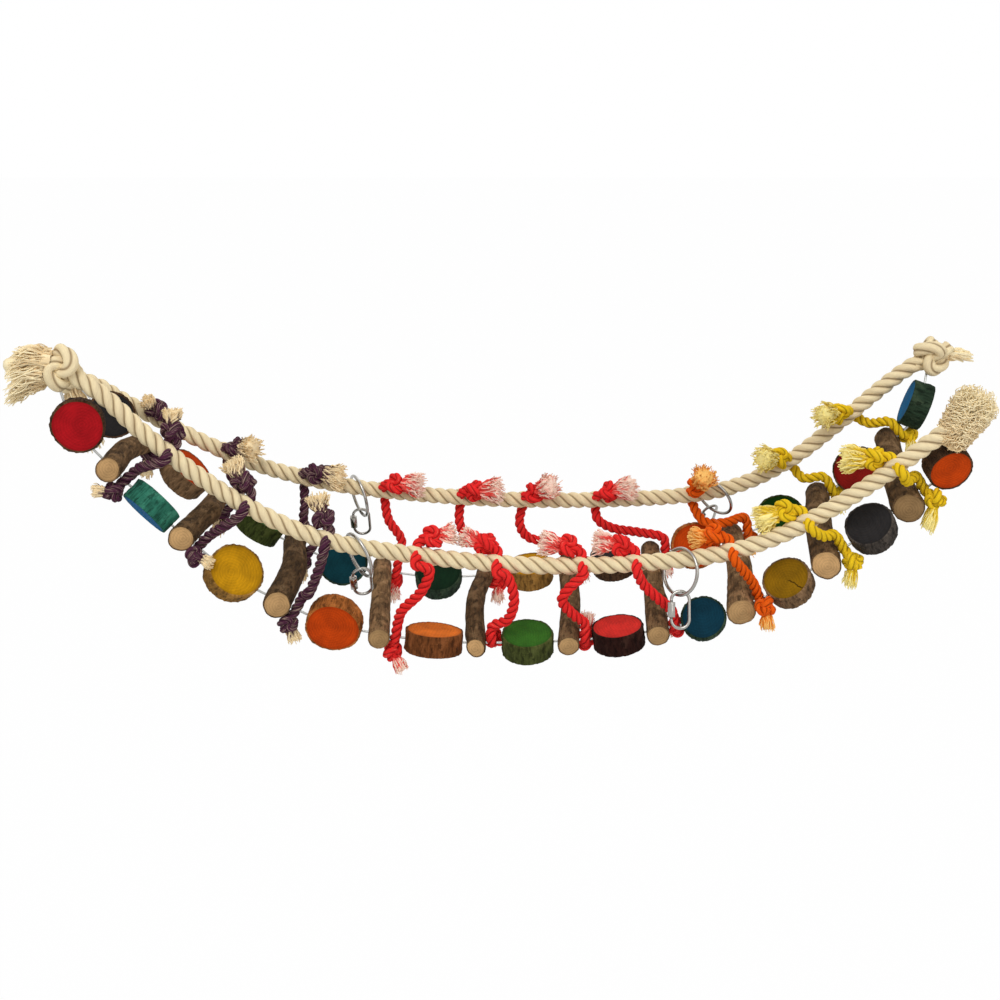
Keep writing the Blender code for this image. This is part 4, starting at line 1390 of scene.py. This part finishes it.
@dataclass
class RopeLine:
    """A rope of one side, with its end knots and tassels.

    Round a cord, the strands are pushed apart and lifted, less the further along the groove or across it they
    are. The push changes sides over the blur.
    """

    side: Side
    finishes: Finishes
    part: float = 0.0030
    part_lift: float = 0.0016
    part_length: float = 0.010
    part_width: float = 0.009
    part_blur: float = 0.0008
    exit_rise: float = 0.15
    knot_entry: float = 0.02
    knot_squash: float = 1.15
    knot_spins: tuple[float, float] = (70.0, 20.0)

    def route(self) -> Route:
        """Return the smooth line of the rope between its end knots."""
        points = [self.side.left_end.knot, *self.side.rope_points, self.side.right_end.knot]
        return Route([self.side.place(p) for p in points])

    def build(self) -> None:
        """Lay the rope, part its strands round the cords, knot its ends and comb their tassels out."""
        route = self.route()
        points = route.spaced(ROPE.step)
        piercings = [Piercing.of(route, cord.pierce_x, self.side) for cord in self.side.cords]
        exits = [self.exit_way(p) for p in piercings]
        shape = bmesh.new()
        phase = self.strand_phase(route, carried(points), piercings, exits)
        verts = ROPE.along(shape, points, phase)
        for piercing, way in zip(piercings, exits):
            self.part_strands(verts, piercing, way)
        close_ends(shape)
        name = f"rope_{self.side.name}"
        rope = add_piece(f"{name}_lay", shape, [self.finishes.rope], "cotton_rope", replaced=[name])
        left, right = self.side.left_end, self.side.right_end
        first, last = route.at(self.knot_entry), route.at(route.length - self.knot_entry)
        ends = [
            self.knot(f"{name}_knot_left", left, first, self.knot_spins[0]),
            self.knot(f"{name}_knot_right", right, last, self.knot_spins[1]),
            self.tassel(f"{name}_tassel_left", left),
            self.tassel(f"{name}_tassel_right", right),
        ]
        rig.cord(
            rope, exit=points[0], length=route.length, diameter=ROPE.diameter, far_end="knot",
            stiffness="medium", lay="hanging", path=points[::4] + [points[-1]], with_pieces=ends,
        )

    def exit_way(self, piercing: Piercing) -> Vector:
        """Return the way out of the rope that a cord takes, out of its outer side."""
        return (self.side.outwards() + self.exit_rise * upright(piercing.tangent)).normalized()

    def strand_phase(
        self,
        route: Route,
        pairs: Sequence[tuple[Vector, Vector]],
        piercings: Sequence[Piercing],
        exits: Sequence[Vector],
    ) -> Callable[[float], float]:
        """Twist the rope so that a groove lies at each place where a cord comes out.

        Args:
            route: The rope's line.
            pairs: The cross directions along it.
            piercings: Where the cords go through it.
            exits: The way out of it that each cord takes.

        Returns:
            The extra twist in radians at a share of the way along.
        """
        stops = [(0.0, 0.0)]
        third = math.tau / STRANDS
        for piercing, way in zip(piercings, exits):
            share = piercing.station / route.length
            side, up = pairs[round(share * (len(pairs) - 1))]
            wanted = math.atan2(way.dot(up), way.dot(side)) - third / 2
            plain = math.tau * piercing.station / ROPE.turn
            before = stops[-1][1]
            stops.append((share, before + (wanted - plain - before + third / 2) % third - third / 2))
        stops.append((1.0, stops[-1][1]))

        def phase(share: float) -> float:
            """Find the twist between two stops.

            Args:
                share: The share of the way along.

            Returns:
                The twist in radians.
            """
            for (a, first), (b, second) in zip(stops, stops[1:]):
                if share <= b:
                    return first + (second - first) * (share - a) / (b - a)
            return stops[-1][1]

        return phase

    def part_strands(self, verts: Sequence[BMVert], piercing: Piercing, way: Vector) -> None:
        """Push the two strands beside a cord apart, so that one arches over it.

        Args:
            verts: The rope's vertices.
            piercing: Where the cord goes through it.
            way: The way that the cord comes out.
        """
        spot = piercing.centre + way * ROPE.diameter / 2
        slant = math.atan2(math.pi * ROPE.diameter, ROPE.turn)
        along = piercing.tangent * math.cos(slant) + piercing.tangent.cross(way) * math.sin(slant)
        across = way.cross(along)
        for vert in verts:
            off = vert.co - spot
            if off.length > 3 * ROPE.diameter or off.dot(way) < -0.6 * ROPE.diameter:
                continue
            lengthwise, sideways = off.dot(along), off.dot(across)
            near = math.exp(-((lengthwise / self.part_length) ** 2) - (sideways / self.part_width) ** 2)
            push = sideways / (abs(sideways) + self.part_blur)
            vert.co += (across * push * self.part + way * self.part_lift) * near

    def knot(self, name: str, end: RopeEnd, inner: Vector, spin: float) -> bpy.types.Object:
        """Tie the overhand knot at an end of the rope.

        Args:
            name: The piece's name.
            end: The end of the rope.
            inner: A point on the rope where it comes into the knot.
            spin: The knot's turn about the rope, in degrees.

        Returns:
            The piece.
        """
        middle = self.side.place(end.knot)
        axis = (inner - middle).normalized()
        line = overhand(middle, axis, spin, end.knot_unit, self.knot_squash)
        lay = Lay(diameter=2.35 * end.knot_unit, turn=0.085, around=30, step=0.0016, core=0.40)
        shape = bmesh.new()
        lay.along(shape, line.spaced(lay.step))
        close_ends(shape)
        return add_piece(name, shape, [self.finishes.rope], "cotton_rope")

    def tassel(self, name: str, end: RopeEnd) -> bpy.types.Object:
        """Comb out the yarns past a knot.

        Args:
            name: The piece's name, which seeds it.
            end: The end of the rope.

        Returns:
            The piece.
        """
        shape = bmesh.new()
        Tuft.past(self.side.place(end.knot), self.side.way(end.way), end.brush).comb(shape, name)
        return add_piece(name, shape, [self.finishes.rope_yarn], "cotton_rope")


@dataclass
class HangerCord:
    """A cord that hangs the wire from its rope, with its two knots and its tassels.

    The rope's knot lies top_gap above the rope, and its height and shift are shares of its size. The wire's
    knot lies wire_drop from the wire, shifted along it to clear the rung.
    """

    number: int
    side: Side
    cord: Cord
    rope: Route
    crossing: tuple[Vector, Vector]
    finishes: Finishes
    knot_unit: float = 0.0035
    knot_squash: float = 1.25
    top_knot: float = 0.010
    top_gap: float = 0.0013
    top_height: float = 0.92
    top_shift: float = 0.4
    wire_knot_size: float = 0.80
    wire_squash: float = 1.2
    wire_rise: float = 0.018
    wire_drop: float = 0.0160
    knot_shift: float = 0.0015
    beside_rung: float = 0.0028
    spin_step: float = 47.0
    wire_spin: float = 60.0

    def build(self) -> None:
        """Lay the cord, tie its knots and comb its tassels."""
        name, dye = f"cord_{self.side.name}_{self.number:02d}", self.cord.dye
        separate = 1 < self.number < len(self.side.cords)
        line = self.line()
        shape = bmesh.new()
        points = line.spaced(CORD.step)
        CORD.along(shape, points)
        close_ends(shape)
        cotton, slot = [self.finishes.cords[dye]], dye.name.lower()
        piece = add_piece(f"{name}_lay", shape, cotton, slot, replaced=[name] if separate else [])
        knots = add_piece(f"{name}_knots", self.knots(), cotton, slot)
        yarns = self.tufts(f"{name}_tassels")
        tufts = add_piece(f"{name}_tassels", yarns, [self.finishes.yarns[dye]], slot)
        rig.cord(
            piece, exit=points[0], length=line.length, diameter=CORD.diameter, far_end="knot",
            stiffness="limp", lay="hanging", path=points[::3] + [points[-1]], with_pieces=[knots, tufts],
        )

    def piercing(self) -> Piercing:
        """Return where the cord goes through its rope."""
        return Piercing.of(self.rope, self.cord.pierce_x, self.side)

    def hang(self) -> tuple[Vector, Vector]:
        """Find the knot on the wire.

        Returns:
            Its middle, and the way from the wire to it.
        """
        wire_point, wire_direction = self.crossing
        turn = math.radians(self.cord.knot_turn)
        way = Matrix.Rotation(self.side.sign * turn, 3, wire_direction) @ -upright(wire_direction)
        shift = self.beside_rung * math.sin(turn) ** 2 - self.knot_shift * math.cos(turn)
        return wire_point + way * self.wire_drop + wire_direction * shift, way

    def line(self) -> Route:
        """Draw the cord out of the rope's side, down past its points and on to the wire's knot.

        Returns:
            The cord's line.
        """
        pierced = self.piercing()
        wire_point, wire_direction = self.crossing
        outwards, above = self.side.outwards(), upright(pierced.tangent)
        reach = ROPE.diameter / 2
        return Route([
            *(pierced.centre + outwards * out * reach + above * rise * reach for out, rise in CORD_EXIT),
            *(self.side.place(p) for p in self.cord.points),
            wire_point + upright(wire_direction) * self.wire_rise,
            wire_point,
            self.hang()[0],
        ])

    def top(self) -> tuple[Vector, Vector]:
        """Find the knot on the rope.

        Returns:
            Its middle, and the way that its tassel lies.
        """
        pierced = self.piercing()
        rise = math.radians(self.cord.tassel_rise)
        along = self.cord.tassel_side * pierced.tangent
        tassel = along * math.cos(rise) - pierced.down * math.sin(rise)
        above = ROPE.diameter / 2 + self.top_gap + self.top_knot * self.top_height
        shift = along * self.top_knot * (self.top_shift + math.cos(rise))
        return pierced.centre - pierced.down * above + shift, tassel

    def knots(self) -> BMesh:
        """Tie the knot on the rope, with its stem into the rope, and the knot under the wire.

        Returns:
            Their mesh.
        """
        lay = Lay(diameter=2.5 * self.knot_unit, turn=0.030, around=18, step=0.0012, core=0.38)
        shape = bmesh.new()
        middle, tassel = self.top()
        spin = self.spin_step * self.number
        top = overhand(middle, -tassel, spin, self.knot_unit, self.knot_squash)
        lay.along(shape, top.spaced(lay.step))
        pierced = self.piercing()
        stem = Route([
            middle - tassel * 0.6 * self.top_knot,
            pierced.centre - pierced.down * 1.25 * ROPE.diameter / 2,
            pierced.centre,
        ])
        CORD.along(shape, stem.spaced(CORD.step))
        wire_knot, way = self.hang()
        unit = self.wire_knot_size * self.knot_unit
        low = overhand(wire_knot, -way, spin + self.wire_spin, unit, self.wire_squash)
        lay.along(shape, low.spaced(lay.step))
        close_ends(shape)
        return shape

    def tufts(self, seed: str) -> BMesh:
        """Comb the tassel on the rope and the tail below the wire's knot.

        Args:
            seed: Picks their yarns.

        Returns:
            Their mesh.
        """
        shape = bmesh.new()
        Tuft.past(*self.top(), CROWN.sized(self.cord.crown)).comb(shape, f"{seed} crown")
        tail = replace(TAIL, length=self.cord.tail + TAIL.length)
        Tuft.past(self.hang()[0], self.side.way(self.cord.tail_way), tail).comb(shape, f"{seed} tail")
        return shape


@dataclass
class SawnSlice:
    """A dyed wood slice with its bark edge, turning on the wire.

    The outline is its mean radius, how oval and how three-cornered it is, and how it wavers. The bark is its
    coarse and fine lumps and how far it sinks. All are shares of the radius.
    """

    name: str
    spec: Slice
    middle: Vector
    direction: Vector
    segments: int = 96
    wall_cuts: int = 9
    edge_bevel: float = 0.0007
    bark_depth: float = 0.0017
    pith_shift: float = 0.12
    pale: float = 0.35
    outline: tuple[float, ...] = (0.97, 0.02, 0.01, 0.012)
    bark: tuple[float, ...] = (0.034, 0.016, 0.012)

    @staticmethod
    def caps(shape: BMesh) -> list[BMFace]:
        """Return the two flat faces, the only ones with more than four corners."""
        return [face for face in shape.faces if len(face.verts) > 4]

    def build(self) -> None:
        """Saw the slice out of a branch, roughen its bark and dye it."""
        rng = random.Random(self.name)
        shape = bmesh.new()
        grain = shape.loops.layers.uv.new(UV_NAME)
        share = shape.loops.layers.uv.new(SHARE_NAME)
        radius = self.spec.diameter / 2
        bmesh.ops.create_cone(
            shape, cap_ends=True, segments=self.segments, radius1=radius, radius2=radius,
            depth=SLICE_THICKNESS,
        )
        walls = [e for e in shape.edges if abs(e.verts[0].co.z - e.verts[1].co.z) > SLICE_THICKNESS / 2]
        bmesh.ops.subdivide_edges(shape, edges=walls, cuts=self.wall_cuts)
        caps = set(self.caps(shape))
        rims = [edge for edge in shape.edges if caps.intersection(edge.link_faces)]
        bmesh.ops.bevel(
            shape, geom=rims, offset=self.edge_bevel, offset_type="OFFSET", segments=2, profile=0.5,
            affect="EDGES", material=-1,
        )
        bmesh.ops.inset_region(
            shape, faces=self.caps(shape), thickness=self.bark_depth, use_even_offset=True
        )
        sawn = set(bmesh.ops.poke(shape, faces=self.caps(shape))["faces"])
        for face in shape.faces:
            face.material_index = 0 if face in sawn else 1
        self.roughen(shape, rng.uniform(0, 50))
        self.map_surface(shape, sawn, grain, share)
        turn = Matrix.Rotation(math.radians(self.spec.turn), 3, self.direction)
        normal = turn @ self.direction.cross(upright(self.direction))
        bmesh.ops.transform(shape, matrix=axes(self.direction, normal, self.middle), verts=shape.verts)
        pith = tuple(rng.uniform(-self.pith_shift, self.pith_shift) for _ in range(2))
        dye, turn = self.spec.dye, rng.uniform(0, 180)
        face = SawnWood(f"{self.name}_sawn", dye.value, pith=pith, turn=turn, crack=self.spec.crack).make()
        edge = Bark(f"{self.name}_bark", self.spec.rim.value, self.pale).make()
        slot = f"dyed_{SLOT_DYES.get(dye, dye).name.lower()}"
        add_piece(f"{self.name}_wood", shape, [face, edge], slot, self.name, [self.name], sharp=40.0)

    def roughen(self, shape: BMesh, seed: float) -> None:
        """Make the outline uneven and the bark rough.

        Args:
            shape: The slice, flat at the origin.
            seed: Picks the bark's lumps.
        """
        inner = self.spec.diameter / 2 - 1.2 * self.bark_depth
        mean, oval, corners, waver = self.outline
        coarse, fine, sink = self.bark
        for vert in shape.verts:
            x, y, z = vert.co
            angle = math.atan2(y, x)
            factor = mean + oval * math.cos(2 * angle) + corners * math.cos(3 * angle)
            factor += waver * noise.noise(Vector((2 * math.cos(angle), 2 * math.sin(angle), seed)))
            if math.hypot(x, y) > inner:
                at = Vector((math.cos(angle) * 9, math.sin(angle) * 9, z * 110 + seed))
                factor += coarse * noise.noise(at) + fine * noise.noise(at * 2.7) - sink
            vert.co.x *= factor
            vert.co.y *= factor

    def map_surface(self, shape: BMesh, sawn: set[BMFace], grain: Any, share: Any) -> None:
        """Lay the grain flat on the sawn faces and round the bark.

        Args:
            shape: The slice, flat at the origin.
            sawn: Its sawn faces.
            grain: The layer of the surface coordinates.
            share: The layer of the share of the way out from the middle.
        """
        radius = self.spec.diameter / 2
        for face in shape.faces:
            angles = [math.atan2(loop.vert.co.y, loop.vert.co.x) for loop in face.loops]
            if max(angles) - min(angles) > math.pi:
                angles = [a + math.tau if a < 0 else a for a in angles]
            for loop, angle in zip(face.loops, angles):
                x, y, z = loop.vert.co
                u, v = (x, y) if face in sawn else (angle * radius, z)
                loop[grain].uv = (u / UV_METRES, v / UV_METRES)
                loop[share].uv = (math.hypot(x, y) / radius, 0.0)


@dataclass
class Branch:
    """A rung: a branch with its bark on and both ends sawn.

    Its coarse and fine lumps are shares of its radius. A knob spreads knob_angle radians round it.
    """

    number: int
    rung: Rung
    front: Vector
    back: Vector
    around: int = 40
    step: float = 0.0022
    bark_depth: float = 0.0013
    lumps: tuple[float, float] = (0.06, 0.04)
    knob_angle: float = 0.9
    pith_shift: float = 0.03
    seed_step: float = 7.3

    def line(self) -> Route:
        """Draw the branch's bowed middle line.

        Returns:
            The line from its front end to its back end.
        """
        along = (self.back - self.front).normalized()
        bow = Vector((self.rung.bow[0], 0.0, self.rung.bow[1]))
        ends = (self.front - along * self.rung.front_overhang, self.back + along * self.rung.back_overhang)
        return Route([ends[0], self.front, self.front.lerp(self.back, 0.5) + bow, self.back, ends[1]])

    def build(self) -> None:
        """Grow the branch, saw its ends and dress it."""
        route = self.line()
        points = route.spaced(self.step)
        rings = len(points) - 1
        shape = bmesh.new()
        seed = self.seed_step * self.number
        girth = math.pi * self.rung.front_diameter

        def section(ring: int, share: float) -> tuple[float, float]:
            """Shape the branch.

            Args:
                ring: The number of the ring along it.
                share: The share of the way round.

            Returns:
                The angle and the radius.
            """
            at, angle = ring / rings, math.tau * share
            diameter = self.rung.front_diameter + (self.rung.back_diameter - self.rung.front_diameter) * at
            spot = Vector((math.cos(angle) * 1.2, math.sin(angle) * 1.2, at * 5 + seed))
            uneven = 1 + self.lumps[0] * noise.noise(spot) + self.lumps[1] * noise.noise(spot * 4.1)
            radius = diameter / 2 * uneven
            for where, turn, height, width in self.rung.knobs:
                away = ((at - where) * route.length / width) ** 2
                apart = (angle - math.radians(turn) + math.pi) % math.tau - math.pi
                radius += height * math.exp(-away - (apart / self.knob_angle) ** 2)
            return angle, radius

        def mapped(share: float, at: float) -> tuple[float, float]:
            """Return the surface coordinates at the shares of the way round and along."""
            return share * girth / UV_METRES, at * route.length / UV_METRES

        sweep(shape, points, self.around, section, mapped)
        caps = close_ends(shape)
        bmesh.ops.inset_region(shape, faces=caps, thickness=self.bark_depth, use_even_offset=True)
        self.map_ends(shape, caps)
        name = f"rung_{self.number:02d}"
        bark = Bark(f"{name}_bark", shade(BARK_COLOUR, self.rung.tone)).make()
        pith = (self.pith_shift * math.sin(seed), self.pith_shift * math.cos(seed))
        cut = shade(CUT_COLOUR, self.rung.cut)
        sawn = SawnWood(f"{name}_sawn", cut, rings=0.3, saw=0.1, pith=pith, edge=0.3).make()
        add_piece(f"{name}_branch", shape, [bark, sawn], "bark_wood", replaced=[name], sharp=55.0)

    def map_ends(self, shape: BMesh, caps: Sequence[BMFace]) -> None:
        """Lay the grain flat on the sawn ends.

        Args:
            shape: The branch.
            caps: Its two end faces.
        """
        grain = shape.loops.layers.uv[UV_NAME]
        share = shape.loops.layers.uv.new(SHARE_NAME)
        for cap in caps:
            centre = cap.calc_center_median()
            side = cap.normal.orthogonal().normalized()
            cross = cap.normal.cross(side)
            for face in bmesh.ops.poke(shape, faces=[cap])["faces"]:
                face.material_index = 1
                for loop in face.loops:
                    off = loop.vert.co - centre
                    loop[grain].uv = (off.dot(side) / UV_METRES, off.dot(cross) / UV_METRES)
                    loop[share].uv = (2 * off.length / self.rung.front_diameter, 0.0)


@dataclass
class SteelWire:
    """The steel wire of one side, straight through each bead."""

    side: Side
    points: Sequence[Vector]
    steel: bpy.types.Material
    around: int = 12
    step: float = 0.006

    def build(self) -> None:
        """Draw the wire along its corners."""
        line = []
        for start, end in zip(self.points, self.points[1:]):
            count = max(1, round((end - start).length / self.step))
            line += [start.lerp(end, k / count) for k in range(count)]
        line.append(self.points[-1])
        shape = bmesh.new()
        sweep(shape, line, self.around, lambda ring, share: (math.tau * share, WIRE_DIAMETER / 2))
        close_ends(shape)
        name = f"wire_{self.side.name}"
        add_piece(f"{name}_steel", shape, [self.steel], "steel_wire", replaced=[name])


@dataclass
class RingAndLink:
    """A steel ring on a rope, with a quick link on it."""

    hanger: Hanger
    rope: Route
    steel: bpy.types.Material
    around: int = 16
    link_around: int = 14
    steps: int = 96
    bend_steps: int = 24
    thread_steps: int = 60
    thread_depth: float = 0.00022
    thread_reach: float = 0.72
    nut_bevel: float = 0.0005
    crown_angles: range = range(30, 151, 3)
    halvings: int = 30

    def drop(self, radius: float, up: Vector, across: Vector, tangent: Vector) -> float:
        """Hang the ring so low that its wire just clears the rope.

        Args:
            radius: The ring's, to the middle of its wire.
            up: The way from the ring's middle to the rope.
            across: The way across the ring.
            tangent: The way along the rope.

        Returns:
            How far the ring's middle lies below the rope's.
        """
        clear = (ROPE_DIAMETER + RING_WIRE) / 2 + RING_GAP
        crown = [math.radians(a) for a in self.crown_angles]
        low, high = 0.0, radius
        for _ in range(self.halvings):
            drop = (low + high) / 2
            points = [across * radius * math.cos(a) + up * (radius * math.sin(a) - drop) for a in crown]
            nearest = min((p - p.dot(tangent) * tangent).length for p in points)
            low, high = (drop, high) if nearest > clear else (low, drop)
        return low

    def build(self) -> None:
        """Bend the ring and the link, and turn the link's nut."""
        hanger = self.hanger
        station = self.rope.station_at_x(hanger.x)
        tangent = self.rope.tangent(station)
        up = Matrix.Rotation(math.radians(hanger.swing), 3, tangent) @ UP
        across = Matrix.Rotation(math.radians(hanger.turn), 3, up) @ up.cross(tangent).normalized()
        at_rope = axes(-across, up, self.rope.at(station))
        radius = (RING_DIAMETER - RING_WIRE) / 2
        drop = self.drop(radius, up, across, tangent)
        self.ring(at_rope @ Matrix.Translation((0.0, 0.0, -drop)), radius)
        bottom = at_rope @ Vector((0.0, 0.0, -drop - radius))
        link_across = Matrix.Rotation(math.radians(hanger.link_turn), 3, up) @ up.cross(across)
        self.link(axes(link_across, up, bottom))

    def ring(self, matrix: Matrix, radius: float) -> None:
        """Spin a round wire into a ring.

        Args:
            matrix: The ring's place, with its axis along Y.
            radius: Its radius, to the middle of its wire.
        """
        shape = bmesh.new()
        bmesh.ops.create_circle(
            shape, segments=self.around, radius=RING_WIRE / 2, matrix=Matrix.Translation((radius, 0.0, 0.0))
        )
        bmesh.ops.spin(
            shape, geom=shape.verts[:] + shape.edges[:], cent=(0, 0, 0), axis=(0, 1, 0), angle=math.tau,
            steps=self.steps, use_merge=True,
        )
        bmesh.ops.remove_doubles(shape, verts=shape.verts, dist=SEAM)
        bmesh.ops.recalc_face_normals(shape, faces=shape.faces)
        self.hand_over(f"ring_{self.hanger.name}", shape, matrix, 50.0)

    def link(self, matrix: Matrix) -> None:
        """Bend the link's wire into a long loop, thread it and put the nut on.

        Args:
            matrix: The link's place, with the bottom of the ring at its origin.
        """
        bend = (LINK_WIDTH - LINK_WIRE) / 2
        top = RING_WIRE / 2 + LINK_GAP + LINK_WIRE / 2
        upper, lower = top - bend, top + LINK_WIRE - LINK_LENGTH + bend
        middle = (upper + lower) / 2
        line = []
        for z, first in ((upper, 0), (lower, 180)):
            for k in range(self.bend_steps + 1):
                a = math.radians(first + 180 * k / self.bend_steps)
                line.append(Vector((bend * math.cos(a), 0.0, z + bend * math.sin(a))))
        for k in range(1, self.thread_steps + 1):
            line.append(Vector((bend, 0.0, lower + (upper - lower) * k / self.thread_steps)))

        def section(ring: int, share: float) -> tuple[float, float]:
            """Shape the wire, with grooves where it is threaded.

            Args:
                ring: The number of the ring along it.
                share: The share of the way round.

            Returns:
                The angle and the radius.
            """
            point = line[ring]
            beside_nut = abs(point.z - middle) < NUT_LENGTH * self.thread_reach
            groove = self.thread_depth if point.x > 0.99 * bend and beside_nut and ring % 2 else 0.0
            return math.tau * share, LINK_WIRE / 2 - groove

        shape = bmesh.new()
        sweep(shape, line, self.link_around, section)
        nut_radius = NUT_ACROSS_FLATS / 2 / math.cos(math.pi / 6)
        cone = bmesh.ops.create_cone(
            shape, cap_ends=True, segments=6, radius1=nut_radius, radius2=nut_radius, depth=NUT_LENGTH,
            matrix=Matrix.Translation((bend, 0.0, middle)),
        )
        nut = set(cone["verts"])
        edges = [edge for edge in shape.edges if edge.verts[0] in nut]
        bmesh.ops.bevel(
            shape, geom=edges, offset=self.nut_bevel, offset_type="OFFSET", segments=3, profile=0.5,
            affect="EDGES", material=-1,
        )
        bmesh.ops.remove_doubles(shape, verts=shape.verts, dist=SEAM)
        self.hand_over(f"quick_link_{self.hanger.name}", shape, matrix, 35.0)

    def hand_over(self, name: str, shape: BMesh, matrix: Matrix, sharp: float) -> None:
        """Put a finished shape in its place and make it a piece, on the body of its own name.

        Args:
            name: The name of its body and node.
            shape: The mesh, which is freed.
            matrix: Its place.
            sharp: The angle in degrees past which an edge is shaded sharp.
        """
        bmesh.ops.transform(shape, matrix=matrix, verts=shape.verts)
        add_piece(f"{name}_steel", shape, [self.steel], "plated_steel", name, [name], sharp)


@dataclass
class Studio:
    """The pale floor, the soft light and the camera, which looks along +Y and down."""

    floor_height: float = -0.95
    floor_size: float = 12.0
    floor_share: float = 0.985
    floor_colour: Colour = (0.9, 0.9, 0.9)
    sky_colour: Colour = (0.97, 0.98, 1.0)
    sky_strength: float = 0.55
    white: Colour = (1.0, 1.0, 1.0)
    lens: float = 47.3
    sensor: float = 36.0
    camera_place: Point = (0.0, -1.2968, 0.4950)
    camera_tilt: float = 70.0

    def build(self) -> None:
        """Set up the stage."""
        scene = bpy.context.scene
        scene.view_settings.view_transform = "Standard"
        self.floor()
        self.world()
        self.lamp("key", (-0.5, -1.3, 2.0), 1.3, 26.0)
        self.lamp("fill", (1.3, -1.4, 0.9), 1.4, 8.0)
        self.lamp("back", (0.2, 1.5, 1.4), 1.2, 6.0)
        camera = bpy.data.cameras.new("camera")
        camera.sensor_fit = "HORIZONTAL"
        camera.sensor_width = self.sensor
        camera.lens = self.lens
        scene.camera = add_object("camera", camera)
        scene.camera.location = self.camera_place
        scene.camera.rotation_euler = (math.radians(self.camera_tilt), 0.0, 0.0)

    def lamp(self, name: str, spot: Point, size: float, power: float) -> None:
        """Add a soft square lamp that looks at the ladder.

        Args:
            name: The lamp's name.
            spot: Its place.
            size: The length of its sides.
            power: Its power in watts.
        """
        light = bpy.data.lights.new(name, "AREA")
        light.size = size
        light.energy = power
        lamp = add_object(name, light)
        lamp.location = spot
        lamp.rotation_euler = (-Vector(spot)).to_track_quat("-Z", "Y").to_euler()

    def floor(self) -> None:
        """Lay the floor, nearly white where it is seen directly."""
        nodes = Nodes.named("floor")
        paint = nodes.dress(Base_Color=self.floor_colour, Roughness=1.0, Specular_IOR_Level=0.0)
        glow = nodes.add("ShaderNodeEmission", {}, {"Color": self.white, "Strength": 1.0})
        nodes.show("Principled BSDF", glow, self.floor_share, "Material Output")
        shape = bmesh.new()
        place = Matrix.Translation((0, 0, self.floor_height))
        bmesh.ops.create_grid(shape, x_segments=2, y_segments=2, size=self.floor_size, matrix=place)
        mesh = bpy.data.meshes.new("floor")
        shape.to_mesh(mesh)
        shape.free()
        mesh.materials.append(paint)
        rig.stage(add_object("floor", mesh))

    def world(self) -> None:
        """Light the stage from all round, and show white behind it."""
        world = bpy.data.worlds.new("studio")
        bpy.context.scene.world = world
        nodes = Nodes(world)
        sky = nodes.tree.nodes["Background"]
        nodes.feed(sky.inputs["Color"], self.sky_colour)
        nodes.feed(sky.inputs["Strength"], self.sky_strength)
        white = nodes.add("ShaderNodeBackground", {}, {"Color": self.white})
        nodes.show("Background", white, 1.0, "World Output")


def write_sizes() -> None:
    """Write the boxes of the solid model and of the dressed one."""
    boxes = {"solid": SOLID_BOX, "dressed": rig.bounds()}
    plain = {key: [[float(x) for x in corner] for corner in box] for key, box in boxes.items()}
    with open("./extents.json", "w") as file:
        json.dump(plain, file)


def main() -> None:
    """Build the ladder side by side, then the rungs, the fittings and the stage."""
    logging.basicConfig(level=logging.INFO, format="%(name)s %(message)s")
    Studio().build()
    finishes = Finishes.make()
    threads = {}
    routes = {}
    for side in (FRONT_SIDE, BACK_SIDE):
        thread = threads[side.name] = Threading(side)
        line = RopeLine(side, finishes)
        rope = routes[side.name] = line.route()
        line.build()
        SteelWire(side, thread.points, finishes.wire).build()
        for number, (cord, crossing) in enumerate(zip(side.cords, thread.cords), start=1):
            HangerCord(number, side, cord, rope, crossing, finishes).build()
        for number, (spec, (middle, direction)) in enumerate(zip(side.slices, thread.slices), start=1):
            SawnSlice(f"slice_{side.name}_{number:02d}", spec, middle, direction).build()
    ends = zip(RUNGS, threads["front"].rungs, threads["back"].rungs)
    for number, (rung, (front, _), (back, _)) in enumerate(ends, start=1):
        Branch(number, rung, front, back).build()
    for hanger in HANGERS:
        RingAndLink(hanger, routes[hanger.side.name], finishes.plated).build()
    write_sizes()


if __name__ == "__main__":
    main()
